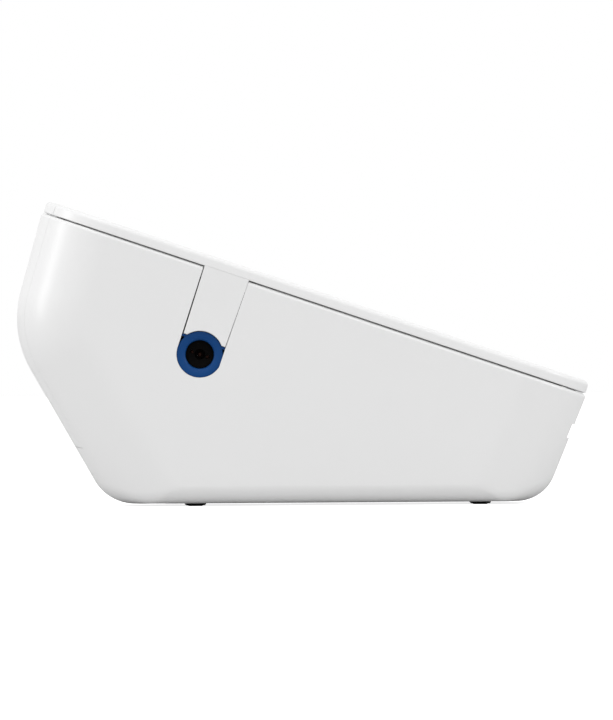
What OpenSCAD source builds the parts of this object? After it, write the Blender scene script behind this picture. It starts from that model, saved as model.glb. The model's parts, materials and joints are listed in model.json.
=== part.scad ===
// Card payment terminal with a receipt printer, millimetres.
// +Z is up, -Y is the user's side, and the origin is under the middle of the body on the table.
// Most parts are drawn in the deck frame: X across, U up the slope of the top plate, W out of it.

/* [Body] */
// Length of the top plate, measured up its slope
deck_length = 142; // [141:0.5:144]
// Width across the top plate
body_width = 86; // [85.5:0.5:88]
// Slope of the top plate from level
deck_tilt = 18.9; // [18.5:0.1:19.3]
// Height of the middle of the top plate above the table
deck_height = 53.15; // [53:0.05:54]
// Distance from the middle of the body to the middle of the plate, towards the user
deck_shift = 4.05; // [3.9:0.05:4.2]
// Plan radius of the body's corners
corner_r = 17.5; // [16:0.5:18]
// Wall of the housing
wall = 2.2; // [2:0.1:2.3]
// Draft of the walls from the deck's normal
draft = 3.3; // [3:0.1:3.5]
// Depth of the knee in the back wall below the rim
knee_depth = 30.6; // [30:0.1:31]
// Lean of the chamfer under the knee, from upright
chamfer_lean = 29.6; // [29:0.1:30]
// Radius of the knee
knee_r = 26; // [24:1:28]
// Radius between the base and the side walls
base_edge_r = 5.5; // [5:0.5:6]

/* [Top plate] */
// Thickness of the top plate
plate_t = 3.2; // [3.1:0.1:3.3]
// Parting gap under the top plate
parting_gap = 0.35; // [0.25:0.05:0.4]
// Width of the touch glass
glass_width = 72.6; // [72:0.1:72.8]
// Length of the touch glass
glass_length = 125.6; // [125:0.1:125.8]
// Offset of the glass to the left, away from the stripe slot
glass_shift = 2.3; // [2.2:0.1:2.4]

/* [Side tongue and power port] */
// Place of the tongue's middle up the slope
tongue_u = 22.9; // [22:0.1:24]
// Width of the tongue where it leaves the plate
tongue_top_width = 11.55; // [11:0.05:12]
// Width of the tongue at its lower end
tongue_end_width = 10.85; // [10.7:0.05:11]
// Depth of the port's centre below the top surface
port_depth = 24.2; // [24:0.1:24.4]
// Outer radius of the port's collar
collar_r = 5.72; // [5.6:0.02:5.8]
// Radius of the bore that takes the power plug
port_bore_r = 3.5; // [3.4:0.05:3.6]
// Length of the bore
port_bore_length = 7.9; // [7.5:0.1:7.9]

/* [Card slots] */
// Width of the stripe slot
stripe_slot = 1.4; // [1.2:0.1:1.5]
// Depth of the stripe slot
stripe_depth = 11.2; // [11:0.1:11.4]
// Width of the chip card slot
chip_slot_width = 56; // [55.5:0.5:56.5]
// Height of the chip card slot
chip_slot_height = 1.2; // [1.1:0.05:1.3]

/* [Printer] */
// Width of the paper roll
paper_width = 57; // [56:0.5:57]
// Radius of a full roll
roll_r = 19.5; // [19:0.1:19.6]
// Radius of the platen roller
platen_r = 3.5; // [3.4:0.05:3.5]
// Clearance around the paper door
door_gap = 0.35; // [0.3:0.05:0.4]
// Radial clearance of turning fits
running_gap = 0.05; // [0.03:0.01:0.08]

/* [Feet and controls] */
// Height that the foot strips stand proud
foot_height = 0.7; // [0.6:0.1:0.8]
// Width of a foot strip
foot_width = 5.35; // [5:0.05:6]
// Travel of the power button
button_travel = 0.6; // [0.5:0.1:0.6]

/* [Hidden] */

white = "#EDEFF0";
blue = "#0C4889";
black = "#191919";
steel = "#B9BCC0";
green = "#1F5C3A";
grey = "#5B5F63";

fine = 64;
round_fn = 32;
eps = 0.01;
half_width = body_width / 2;
half_length = deck_length / 2;
rim_w = -plate_t - parting_gap;
rim_step = 0.36;
slot_inner_x = 38.3;
slot_outer_x = slot_inner_x + stripe_slot;

// ---- Placing ----

// Puts children in the deck frame
module deck() {
    translate([0, -deck_shift, deck_height]) rotate([deck_tilt, 0, 0]) children();
}

// Box between the ends given for X, U (or Y) and W (or Z)
module block(x, u, w) {
    translate([x[0], u[0], w[0]]) cube([x[1] - x[0], u[1] - u[0], w[1] - w[0]]);
}

// Round bar along X between two ends, at a point of the side view
module bar(x, at, r, fn = fine) {
    translate([x[0], at.x, at.y]) rotate([0, 90, 0]) cylinder(r = r, h = x[1] - x[0], $fn = fn);
}

// Extrudes a side view, drawn as [u, w], across X between two ends
module across(x) {
    translate([x[0], 0, 0]) rotate([90, 0, 90]) linear_extrude(x[1] - x[0]) children();
}

// The same span on both sides of the middle
module both_sides() {
    children();
    mirror([1, 0, 0]) children();
}

function symmetric(half) = [-half, half];
function around(middle, half) = [middle - half, middle + half];
function direction(angle) = [cos(angle), sin(angle)];
function to_deck(y, z) = let (v = [y + deck_shift, z - deck_height])
    [v * direction(deck_tilt), v * direction(deck_tilt + 90)];

// ---- Outer form of the body ----
// The side view is five walls, each a line with an outward direction and a distance, clockwise
// from the rim. Across the width the walls draw in to round the plan, and the draft narrows it.

rim_back = [half_length + rim_step, rim_w];
rim_front = [-half_length - rim_step, rim_w];
knee = [rim_back.x - knee_depth * tan(draft), rim_w - knee_depth];
wall_angle = [90, -draft, -deck_tilt - chamfer_lean, -90 - deck_tilt, draft - 180];
wall_distance = [rim_w, rim_back * direction(wall_angle[1]), knee * direction(wall_angle[2]),
    deck_height - foot_height, rim_front * direction(wall_angle[4])];
// Radius and number of steps of the corner that follows each wall
corner_radius = [0, knee_r, 11.5, 10, 0];
corner_steps = [0, 8, 6, 6, 0];
side_steps = 8;

// Crossing point of two lines, each a direction and a distance
function crossing(a, da, b, db) = let (n = direction(a), m = direction(b), det = cross(n, m))
    [m.y * da - n.y * db, n.x * db - m.x * da] / det;

// Points of a rounded corner, from the wall with direction a to the wall with direction b
function rounded(at, a, b, r, steps) = let (mid = (a + b) / 2, half = abs(a - b) / 2,
        centre = at - direction(mid) * r / cos(half))
    r == 0 ? [at] : [for (i = [0:steps]) centre + r * direction(a + (b - a) * i / steps)];

// Side view with its walls, base and rim drawn in
function side_view(in_wall, in_base, top) = let (
        d = [top, wall_distance[1] - in_wall, wall_distance[2] - in_wall,
            wall_distance[3] - in_base, wall_distance[4] - in_wall])
    [for (i = [0:4]) let (j = (i + 1) % 5, a = wall_angle[i], b = wall_angle[j],
            r = corner_radius[i] == 0 ? 0 : max(corner_radius[i] - 0.7 * in_wall, 2))
        each rounded(crossing(a, d[i], b, d[j]), a, b, r, corner_steps[i])];

function taper(w) = 1 + (w - rim_w) * tan(draft) / half_width;

// Stations across the width: place, and the angle turned round the plan corner
function stations(r) = [for (side = [-1, 1]) for (i = [0:side_steps])
    let (a = 90 * (side < 0 ? side_steps - i : i) / side_steps)
    [side * (half_width - corner_r + r * sin(a)), a]];

// Solid of the body, drawn in by a skin thickness and cut off level at the top
module body_solid(skin, top) {
    r = corner_r - skin;
    edge_r = base_edge_r - skin;
    round_from = half_width - base_edge_r;
    views = [for (s = stations(r)) let (past = max(abs(s.x) - round_from, 0))
        side_view(skin + r * (1 - cos(s.y)), skin + edge_r - sqrt(max(edge_r ^ 2 - past ^ 2, 0)), top)];
    n = len(views[0]);
    points = [for (k = [0:len(views) - 1]) for (p = views[k])
        [stations(r)[k].x * taper(p.y), p.x, p.y]];
    last = (len(views) - 1) * n;
    skins = [for (k = [0:len(views) - 2]) for (j = [0:n - 1])
        let (a = k * n + j, b = k * n + (j + 1) % n) each [[a, b, b + n], [a, b + n, a + n]]];
    ends = [[for (j = [n - 1:-1:0]) j], [for (j = [0:n - 1]) last + j]];
    polyhedron(points, concat(skins, ends));
}

// Plan of the top plate
module plate_plan(inset = 0) {
    r = corner_r - inset;
    offset(r = r, $fn = 96) square([body_width - 2 * corner_r, deck_length - 2 * corner_r], center = true);
}

// Slab of the plate plan between two levels
module plate_slab(w, inset = 0) {
    translate([0, 0, w[0]]) linear_extrude(w[1] - w[0]) plate_plan(inset);
}

// ---- Tongue, port and slot round them ----

port_at = [tongue_u, -port_depth];
shoulder_w = 3.7 - port_depth;
shoulder_half = tongue_end_width / 2 - 1.07;

// Side view of the tongue, grown by a gap
module tongue_view(front_gap = 0, rear_gap = 0) {
    top = tongue_top_width / 2;
    end = tongue_end_width / 2;
    difference() {
        polygon([[tongue_u - top - front_gap, 0.1 - plate_t], [tongue_u + top + rear_gap, 0.1 - plate_t],
            [tongue_u + end + rear_gap, shoulder_w], [tongue_u - end - front_gap, shoulder_w]]);
        translate(port_at) circle(collar_r + 0.1, $fn = fine);
    }
}

// Side view of the collar: a circle that fills the slot's corners under the tongue's shoulders
module collar_view(gap = 0) {
    translate(port_at) circle(collar_r + gap, $fn = fine);
    translate(port_at - [tongue_end_width / 2 + gap, 0])
        square([tongue_end_width + 2 * gap, shoulder_w + port_depth - 0.12 + gap]);
}

// ---- Paper door and its hinge ----

door_half_top = 34.5;
door_half_hinge = 30.8;
strip_u = 64;
exit_u = 62.5;
hinge_depth = 4.6;
door_swing = 70;
// The lip's sweep stays inside the cut in the housing over the whole swing
lip_r = hinge_depth / cos(door_swing / 2);
hinge_up = 19.88;
hinge_pin_r = 0.9;
barrel_r = 2.8;
rear_base = crossing(wall_angle[2], wall_distance[2], wall_angle[3], wall_distance[3]);
hinge_at = rear_base + hinge_up * direction(wall_angle[2] + 90) - hinge_depth * direction(wall_angle[2]);

// Wedge across the width that holds the door, wider at the top than at the hinge
module door_span(gap) {
    slope = (door_half_top - door_half_hinge) / (-hinge_at.y);
    low = -70;
    high = 5;
    translate([0, 90, 0]) rotate([90, 0, 0]) linear_extrude(90)
        polygon([for (p = [[-1, low], [1, low], [1, high], [-1, high]])
            [p.x * (door_half_top + gap + slope * p.y), p.y]]);
}

// Side view of the door's share of the back wall, grown by a gap
module door_view(gap) {
    out = direction(wall_angle[2]);
    up = direction(wall_angle[2] + 90);
    polygon([hinge_at, hinge_at + 12 * out, hinge_at + 12 * out + 40 * up, [90, 5],
        [strip_u - gap, 5], [strip_u - gap, -30]]);
    translate(hinge_at) circle(lip_r + gap, $fn = fine);
}

// ---- Body shells ----

screw_points = [[-33, 36], [33, 36], [-32, -36], [32, -36]];
screw_r = 1.2;
screw_head_r = 2.8;
screw_ledge = 2.6;
boss_r = 4.2;
boss_top = 7;
foot_rear_y = 26.85;
foot_front_y = -43.95;
foot_half = 32;
foot_sunk = 0.9;
label_size = [40, 24];
label_y = -18;
label_t = 0.25;
speaker_y = 2;
button_at = [43, -22];
button_size = [12, 5];
chip_slot_w = [-12.4 - chip_slot_height, -12.4];

module oblong(size) {
    hull() for (side = [-1, 1]) translate([side * (size.x - size.y) / 2, 0]) circle(d = size.y, $fn = 48);
}

module housing() {
    color(white) difference() {
        union() {
            deck() difference() {
                body_solid(0, rim_w);
                body_solid(wall, 5);
            }
            deck() stripe_rail();
            intersection() {
                deck() body_solid(0, rim_w);
                union() {
                    for (p = screw_points) translate([p.x, p.y, 0]) cylinder(r = boss_r, h = boss_top, $fn = 48);
                    deck() hinge_bosses();
                }
            }
        }
        housing_cuts();
        deck() housing_side_cuts();
    }
}

// Rail outside the stripe slot, level with the deck
module stripe_rail() {
    intersection() {
        plate_slab([rim_w - 1, 0]);
        block([slot_outer_x, half_width], symmetric(half_length), [rim_w - 1, 0]);
    }
}

// Blocks in the side walls that hold the ends of the hinge pin
module hinge_bosses() {
    both_sides() hull() {
        bar([door_half_hinge + 0.6, 33.5], hinge_at, 2.6, round_fn);
        bar([36, 38], hinge_at, 3.5, round_fn);
    }
}

// Holes in the base: screws, feet, label and speaker
module housing_cuts() {
    for (p = screw_points) translate([p.x, p.y, 0]) {
        translate([0, 0, -1]) cylinder(r = screw_head_r + 0.2, h = foot_height + screw_ledge + 1, $fn = 48);
        cylinder(r = screw_r + 0.15, h = 20, $fn = round_fn);
    }
    for (y = [foot_rear_y, foot_front_y]) translate([0, y, -1])
        linear_extrude(1 + foot_height + foot_sunk) oblong([2 * foot_half + 0.1, foot_width + 0.1]);
    translate([-label_size.x / 2 - 0.2, label_y - label_size.y / 2 - 0.2, 0])
        cube([label_size.x + 0.4, label_size.y + 0.4, foot_height + label_t + 0.05]);
    for (i = [-3:3]) for (j = [-1:1]) translate([i * 2.4, speaker_y + j * 2.4, 0])
        cylinder(r = 0.6, h = 5, $fn = 16);
}

// Openings in the walls: tongue, port, slots, button and door
module housing_side_cuts() {
    across([-60, -36]) tongue_view(0.12, door_gap);
    across([-60, -36]) collar_view(0.04);
    block([slot_inner_x, slot_outer_x], symmetric(90), [-stripe_depth, 5]);
    block([slot_inner_x - 1.25, slot_inner_x + eps], symmetric(90), [-stripe_depth - 1.25, 5]);
    block([slot_inner_x - 1.25, slot_outer_x + 0.35], symmetric(90), [-stripe_depth - 1.25, -stripe_depth + eps]);
    block(symmetric(chip_slot_width / 2 + 1.6), [-90, -60], [chip_slot_w[0] - 1.2, chip_slot_w[1] + 1.2]);
    translate([35, button_at.x, button_at.y]) rotate([90, 0, 90])
        linear_extrude(20) oblong(button_size + [0.3, 0.3]);
    intersection() {
        across(symmetric(60)) door_view(door_gap);
        door_span(door_gap);
    }
    bar(symmetric(33.05), hinge_at, hinge_pin_r + eps, round_fn);
}

lcd_half_width = 34.65;
lcd_half_length = 61.4;
glass_x = [-glass_shift - glass_width / 2, -glass_shift + glass_width / 2];
glass_u = [59.5 - glass_length, 59.5];
lcd_x = [-glass_shift - lcd_half_width, -glass_shift + lcd_half_width];
lcd_u = [58 - 2 * lcd_half_length, 58];
glass_t = 1.0;
tape_t = 0.2;

function grown(span, by) = [span[0] - by, span[1] + by];

// Rounded slab between the ends given for X, U and W
module slab(x, u, w, r) {
    translate([0, 0, w[0]]) linear_extrude(w[1] - w[0]) translate([(x[0] + x[1]) / 2, (u[0] + u[1]) / 2])
        offset(r = r, $fn = 48) square([x[1] - x[0] - 2 * r, u[1] - u[0] - 2 * r], center = true);
}

// The whole plate with its top edge rounded
module rounded_plate() {
    hull() {
        plate_slab([-plate_t, -1]);
        plate_slab([-0.45, -0.35], 0.35);
        plate_slab([-0.1, 0], 1.1);
    }
}

module top_cover() {
    color(white) deck() {
        difference() {
            rounded_plate();
            top_cover_cuts();
        }
        difference() {
            plate_slab([-6, -plate_t + 0.2], wall + 0.3);
            plate_slab([-7, 0], wall + 1.5);
            block([slot_inner_x - 3, 60], symmetric(90), [-9, 0]);
            block(symmetric(door_half_top + 1), [strip_u - 12, 90], [-9, 0]);
            slab(grown(glass_x, 0.2), grown(glass_u, 0.2), [-9, 5], 6.2);
        }
        intersection() {
            across([-60, -37]) tongue_view();
            difference() {
                body_solid(0.05, 0);
                body_solid(wall, 5);
            }
        }
    }
}

// Openings of the plate: glass, display, stripe slot and paper door
module top_cover_cuts() {
    slab(grown(glass_x, 0.2), grown(glass_u, 0.2), [-glass_t - tape_t, 5], 6.2);
    slab(grown(lcd_x, 0.25), grown(lcd_u, 0.25), [-9, 5], 2);
    block([slot_inner_x, 90], symmetric(90), [-9, 5]);
    block(symmetric(door_half_top + door_gap), [exit_u, 90], [-9, 5]);
    block(symmetric(tear_half), [exit_u - tear_sunk, 90], tear_w);
}

tear_half = door_half_top - 2;
tear_sunk = 0.6;
tear_w = [-2.2, -0.5];

module paper_door() {
    color(white) deck() difference() {
        union() {
            intersection() {
                difference() {
                    body_solid(0, rim_w + 0.01);
                    body_solid(wall, 5);
                }
                across(symmetric(60)) door_view(0);
                door_span(0);
            }
            intersection() {
                union() {
                    rounded_plate();
                    plate_slab([-plate_t - 1, -plate_t + 0.1], 1);
                }
                block(symmetric(door_half_top), [strip_u, 90], [-9, 5]);
                door_span(0);
            }
            intersection() {
                bar(symmetric(door_half_hinge), hinge_at, barrel_r);
                body_solid(0.01, rim_w);
            }
            door_ears();
        }
        bar(symmetric(60), hinge_at, hinge_pin_r + running_gap);
        bar(grown(gear_x, 0.3), platen_at, 4);
        for (x = [ear_left, ear_right]) bar(grown(x, 0.1), platen_at, bush_r + eps);
        finger_recess();
    }
}

platen_at = [64, -13];
// Ears of the door, beyond both ends of the roller
ear_left = [-33, -31.8];
ear_right = [29.4, 30.9];
bush_r = 1.9;

module door_ears() {
    for (x = [ear_left, ear_right]) {
        bar(x, platen_at, 3.1);
        block(x, [platen_at.x, 68.4], around(platen_at.y, 3.1));
    }
}

// Shallow round scoop for a fingertip in the back wall
module finger_recess() {
    scoop_r = 14;
    translate([0, half_length - 1.4 + scoop_r, -20]) sphere(scoop_r, $fn = fine);
}

// ---- Display stack ----

lcd_w = [-3.2, -1.2];
frame_w = [-4.4, -3.2];
antenna_w = [-4.9, -4.4];
mid_w = [-6.6, -5.2];
mid_x = [-36.5, 36.5];
mid_u = [-63, 41];
board_x = symmetric(28);
board_u = [-62, 0];
board_w = [-8.6, -7.4];

module glass_panel() {
    color(black) deck() slab(glass_x, glass_u, [-glass_t, 0], 6);
}

module glass_gasket() {
    color(black) deck() difference() {
        slab(grown(glass_x, -0.3), grown(glass_u, -0.3), [-glass_t - tape_t, -glass_t], 5.7);
        slab(grown(lcd_x, 0.4), grown(lcd_u, 0.3), [-3, 0], 4);
    }
}

module lcd_panel() {
    color("#23272B") deck() slab(lcd_x, lcd_u, lcd_w, 1.5);
}

module lcd_frame() {
    color(steel) deck() difference() {
        slab(grown(lcd_x, -0.2), grown(lcd_u, -0.2), frame_w, 1.5);
        slab(grown(lcd_x, -6), grown(lcd_u, -6), [-5, -3], 1.5);
    }
}

// Flat loop of wire under the display
module contactless_antenna() {
    color("#B87333") deck() difference() {
        slab(symmetric(26), [-34, 30], antenna_w, 5);
        slab(symmetric(22), [-30, 26], [-6, -4], 3);
    }
}

// Carrier plate with four posts down to the case screws
module mid_plate() {
    post_r = 2.2;
    color(grey) {
        deck() difference() {
            slab(mid_x, mid_u, mid_w, 4);
            slab(symmetric(20), [8, 34], [-9, -4], 3);
            block([33.6, 40], around(mag_at, 11), [-9, -4]);
        }
        deck() for (x = [-27, 27]) for (u = [-36, 28]) translate([x, u, mid_w[1] - eps])
            cylinder(r = 1.6, h = frame_w[0] - mid_w[1] + eps, $fn = 24);
        for (p = screw_points) difference() {
            translate([p.x, p.y, boss_top]) cylinder(r = post_r, h = post_height(p.y), $fn = 32);
            translate([p.x, p.y, boss_top - 1]) cylinder(r = screw_r, h = 8, $fn = round_fn);
        }
    }
}

// Height of a post from the boss to the carrier plate above it
function post_height(y) = deck_height + (y + deck_shift) * tan(deck_tilt)
    + (mid_w[0] + 0.4) / cos(deck_tilt) - boss_top;

module main_board() {
    color(green) deck() difference() {
        slab(board_x, board_u, board_w, 1.5);
        for (p = board_screw_points) translate([p.x, p.y, -10]) cylinder(r = 1.1, h = 4, $fn = 24);
    }
}

board_screw_points = [[-25, -59], [25, -59], [-25, -3], [25, -3]];

module board_chips() {
    sizes = [[12, 12], [9, 9], [14, 10], [7, 5], [6, 6]];
    places = [[-12, -14], [4, -13], [18, -12.2], [13.5, -4], [-23, -9]];
    color(black) deck() for (i = [0:4]) translate([places[i].x, places[i].y, board_w[0] - 0.6])
        cube([sizes[i].x, sizes[i].y, 1.2], center = true);
}

module board_screws() {
    color(steel) deck() for (p = board_screw_points) translate([p.x, p.y, 0]) {
        translate([0, 0, board_w[0] - 1]) cylinder(r = 1.9, h = 1, $fn = 24);
        translate([0, 0, board_w[0] - 0.1]) cylinder(r = 1, h = board_w[1] - board_w[0] + 0.6, $fn = 24);
    }
}

module backup_cell() {
    color(steel) deck() translate([-16, -30, board_w[0] - 1.6]) cylinder(r = 6, h = 1.6, $fn = 48);
}

module tamper_switches() {
    color(black) deck() for (p = [[21, -20], [21, -34]]) translate([p.x, p.y, 0]) {
        block(symmetric(1.8), symmetric(1.8), [board_w[0] - 1, board_w[0]]);
        translate([0, 0, board_w[0] - 1.5]) cylinder(r = 1, h = 0.6, $fn = 24);
    }
}

module battery_pack() {
    color("#2B2F6B") translate([0, -24, foot_height + wall + 6.6]) linear_extrude(13, center = true)
        offset(r = 2, $fn = 32) square([51, 36], center = true);
}

module speaker() {
    color(black) {
        block(symmetric(10), around(speaker_y, 5), [4.2, 7.5]);
        block(symmetric(11), around(speaker_y, 6), [2.95, 4.3]);
    }
}

module display_ribbon() {
    color("#C8862A") deck() {
        block(symmetric(7), [8.2, 25.5], [-4.75, -4.55]);
        block(symmetric(7), [8.2, 8.4], [-9.2, -4.55]);
        block(symmetric(7), [-1, 8.4], [-9.2, -9]);
        block(symmetric(8), [-5.2, -1], [-9.6, board_w[0]]);
    }
}

// ---- Chip card reader ----

reader_x = symmetric(29.2);
reader_u = [-64.5, -22];
reader_w = [-15.8, -10.4];
contact_points = [for (i = [0:3]) for (j = [0:1]) [5 + 2.54 * i, -42 + 7.62 * j]];
lever_at = [20, -19.5];

module card_reader_body() {
    color(black) deck() difference() {
        block(reader_x, reader_u, reader_w);
        block(symmetric(27.2), [-70, -20], chip_slot_w);
        block([10, 23], [-24, -20], [-20, chip_slot_w[1]]);
        for (p = contact_points) translate([p.x, p.y, 0]) block(symmetric(0.7), symmetric(2.2), [chip_slot_w[1] - 0.1, -9]);
    }
    color(black) deck() difference() {
        block([17.6, 22.4], [-22.5, -17.5], [-11.8, -10.4]);
        translate([lever_at.x, lever_at.y, -12]) cylinder(r = 0.8, h = 3, $fn = fine);
    }
}

// Eight sprung fingers over the card's chip
module card_contacts() {
    color("#D4AF37") deck() for (p = contact_points) translate([p.x, p.y, 0]) {
        block(symmetric(0.5), [-2, 1.8], [-10.9, -10.7]);
        block(symmetric(0.5), [-2, -1.6], [chip_slot_w[1] - 0.05, -10.7]);
    }
}

// Frame of the slot's mouth in the front wall
module card_slot_bezel() {
    mouth = chip_slot_width / 2;
    color(black) deck() difference() {
        intersection() {
            block(symmetric(mouth + 1.5), [-90, -64.6], [chip_slot_w[0] - 1.1, chip_slot_w[1] + 1.1]);
            body_solid(0.25, rim_w);
        }
        block(symmetric(mouth), [-90, -60], chip_slot_w);
    }
}

// Lever that the card's inner edge pushes
module card_lever() {
    color("#D9D9D2") deck() difference() {
        union() {
            translate([lever_at.x, lever_at.y, chip_slot_w[0]]) cylinder(r = 1.8, h = chip_slot_height - 0.1, $fn = fine);
            block([lever_at.x - 9, lever_at.x], [lever_at.y - 1.8, lever_at.y - 0.4], [chip_slot_w[0], chip_slot_w[1] - 0.1]);
        }
        translate([lever_at.x, lever_at.y, -20]) cylinder(r = 0.8 + running_gap, h = 20, $fn = fine);
    }
}

module card_lever_pin() {
    color(steel) deck() translate([lever_at.x, lever_at.y, chip_slot_w[0] - 0.3])
        cylinder(r = 0.8, h = -10.4 - chip_slot_w[0] + 0.3, $fn = fine);
}

// ---- Stripe slot ----

// Channel that lines the slot, with a window for the head
module swipe_channel() {
    side = [slot_inner_x - 1.2, slot_inner_x];
    window = around(mag_at, 4.5);
    color("#2A2A2A") deck() intersection() {
        difference() {
            union() {
                block(side, symmetric(half_length), [-stripe_depth - 1.2, -plate_t - 0.1]);
                block([side[0], slot_outer_x + 0.3], symmetric(half_length), [-stripe_depth - 1.2, -stripe_depth]);
            }
            block([30, side[1] + 0.1], window, [-9, -3.4]);
        }
        body_solid(0.4, 0);
    }
}

mag_at = -10;
mag_w = [-8.6, -3.8];

module mag_head() {
    color(steel) deck() {
        block([35, slot_inner_x - 0.1], around(mag_at, 3.8), mag_w);
        bar([36.4, slot_inner_x + 0.3], [mag_at, -6.2], 1.6);
    }
}

// Bowed leaf behind the head
module mag_head_spring() {
    color("#C9B26B") deck() {
        block([34.4, 34.7], around(mag_at, 9), [-8, -4.6] );
        block([34.7, 35], around(mag_at, 1.2), [-7, -5.2]);
        for (side = [-1, 1]) block([34.4, 37.1], around(mag_at + side * 9, 0.4), [-8, -4.6]);
    }
}

// ---- Power port ----

collar_face_x = -41.4;
collar_back_x = collar_face_x + 1.2;
bore_end_x = collar_face_x + port_bore_length;
socket_r = 4.7;

module port_collar() {
    lead_in = 0.5;
    color(blue) deck() difference() {
        union() {
            bar([collar_face_x, -38], port_at, collar_r);
            block([collar_face_x, collar_back_x], around(port_at.x, tongue_end_width / 2),
                [port_at.y, shoulder_w - 0.12]);
        }
        bar([-60, -30], port_at, port_bore_r);
        bar([collar_back_x, -30], port_at, socket_r + 0.02);
        translate([collar_face_x, port_at.x, port_at.y]) rotate([0, 90, 0])
            cylinder(r1 = port_bore_r + lead_in, r2 = port_bore_r, h = lead_in, $fn = fine);
    }
}

module port_socket() {
    color(black) deck() difference() {
        union() {
            bar([collar_back_x, bore_end_x + 1.6], port_at, socket_r);
            block([bore_end_x - 1, bore_end_x + 1.6], around(port_at.x, 5), around(port_at.y, 5));
        }
        bar([-60, bore_end_x], port_at, port_bore_r);
        bar([-60, 0], port_at, 0.6, round_fn);
        for (side = [-1, 1]) bar([-60, 0], port_at + side * [2, 0], 0.5, round_fn);
    }
}

// Centre pin and two side contacts, flush with the floor of the bore
module port_contacts() {
    color("#D4AF37") deck() {
        bar([bore_end_x, bore_end_x + 3], port_at, 0.6, round_fn);
        for (side = [-1, 1]) bar([bore_end_x, bore_end_x + 3], port_at + side * [2, 0], 0.5, round_fn);
    }
}

// ---- Power button ----

button_face_x = 42.4;

module power_button() {
    flange_x = [38, 39];
    color("#D7DADC") deck() {
        translate([flange_x[0], button_at.x, button_at.y]) rotate([90, 0, 90]) {
            linear_extrude(button_face_x - flange_x[0]) oblong(button_size);
            linear_extrude(flange_x[1] - flange_x[0]) oblong(button_size + [2, 2]);
        }
        bar([37, flange_x[0] + eps], button_at, 1, round_fn);
    }
}

module button_switch() {
    color(black) deck() {
        block([34.2, 36.3], around(button_at.x, 3), around(button_at.y, 3));
        block([33.2, 34.2], [button_at.x - 3.4, button_at.x + 5], around(button_at.y, 4.5));
        block([frame_right[1], 33.2], [frame_u[0] + 0.1, button_at.x + 4], [button_at.y - 0.9, button_at.y + 3]);
    }
}

// ---- Underside ----

module foot_strip(y) {
    color(black) translate([0, y, 0]) linear_extrude(foot_height + foot_sunk) oblong([2 * foot_half, foot_width]);
}

module foot_strip_front() {
    foot_strip(foot_front_y);
}

module foot_strip_rear() {
    foot_strip(foot_rear_y);
}

module underside_label() {
    color("#D9DCDD") translate([-label_size.x / 2, label_y - label_size.y / 2, foot_height])
        cube([label_size.x, label_size.y, label_t]);
}

module case_screws() {
    ledge = foot_height + screw_ledge;
    color(steel) for (p = screw_points) translate([p.x, p.y, 0]) difference() {
        union() {
            translate([0, 0, ledge - 1.6]) cylinder(r = screw_head_r, h = 1.6, $fn = 48);
            translate([0, 0, ledge - eps]) cylinder(r = screw_r - 0.02, h = 10.5, $fn = round_fn);
        }
        translate([0, 0, ledge - 2]) cylinder(r = 1.2, h = 1.2, $fn = 6);
    }
}

// ---- Paper bay ----

roll_at = [26.8, -33];
cradle_in_r = 21.4;
cradle_out_r = 22.8;
cradle_side_x = [29.2, 30.4];

// Trough under and in front of the roll, with a wall at each end
module chassis() {
    color(grey) deck() {
        difference() {
            bar(symmetric(cradle_side_x[1]), roll_at, cradle_out_r, 96);
            bar(symmetric(cradle_side_x[1] + 1), roll_at, cradle_in_r, 96);
            cradle_cut();
        }
        both_sides() difference() {
            bar(cradle_side_x, roll_at, cradle_out_r, 96);
            cradle_cut();
            bar([29, 31], roll_at, 9);
        }
    }
    color(grey) both_sides() block([10, 13], [27, 38], [foot_height + wall + 0.02, 8.5]);
}

// Keeps the trough's lower front half
module cradle_cut() {
    across(symmetric(40)) polygon([[60, -72], [60, 20], [-20, 20], [-20, -14], [12, -14], [30, -44], [36, -72]]);
}

module paper_roll() {
    color("#F4F2EC") deck() difference() {
        bar(symmetric(paper_width / 2), roll_at, roll_r, 128);
        bar(symmetric(40), roll_at, 8);
    }
}

module paper_core() {
    color("#B79B73") deck() difference() {
        bar(symmetric(paper_width / 2), roll_at, 8, 96);
        bar(symmetric(40), roll_at, 6.5);
    }
}

// ---- Printer ----

idler_at = [55.415, -15.7];
motor_at = [47, -14.5];
pivot_at = [58, -20.5];
gear_x = [-31.4, -29.4];
frame_left = [-34, -32.6];
frame_right = [31.2, 32.6];
frame_inner = [-29.2, -28.2];
frame_u = [44.5, 59.5];
frame_cross_u = [52.6, 54];

// Side plates, a floor strip, a back plate for the springs and an inner ear for the head's pivot
module printer_frame() {
    plate_w = [-23, -7];
    floor_w = [-24.2, -23];
    color(steel) deck() {
        difference() {
            block(frame_left, frame_u, plate_w);
            bar([-40, 0], idler_at, 1);
            bar([-40, 0], platen_at, 4.2);
        }
        difference() {
            block(frame_right, frame_u, plate_w);
            bar([0, 40], pivot_at, 1);
            bar([0, 40], platen_at, 4.2);
        }
        difference() {
            block(frame_inner, [frame_cross_u[0], frame_u[1]], [floor_w[0], -17.9]);
            bar([-40, 0], pivot_at, 1);
        }
        block([frame_left[0], frame_right[1]], [46, frame_cross_u[1]], floor_w);
        block([-12, frame_right[0] + eps], frame_cross_u, [floor_w[1] - eps, -8]);
        block([-13.4, -12 + eps], [48, frame_cross_u[1]], [floor_w[1] - eps, -8]);
    }
}

module print_head() {
    color("#E4E0D2") deck() block(symmetric(27), [59.4, platen_at.x - platen_r], [-18.8, -8.6]);
}

module head_heatsink() {
    color(steel) deck() difference() {
        union() {
            block(symmetric(28), [57.6, 59.4], [-19.5, -8.2]);
            bar(symmetric(28), pivot_at, 1.9);
            block(symmetric(28), [57.4, 59.2], [-20.5, -19.4]);
        }
        bar(symmetric(40), pivot_at, 1 + running_gap);
    }
}

module head_pivot_pin() {
    color(steel) deck() bar([frame_inner[0], frame_right[1]], pivot_at, 1);
}

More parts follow.
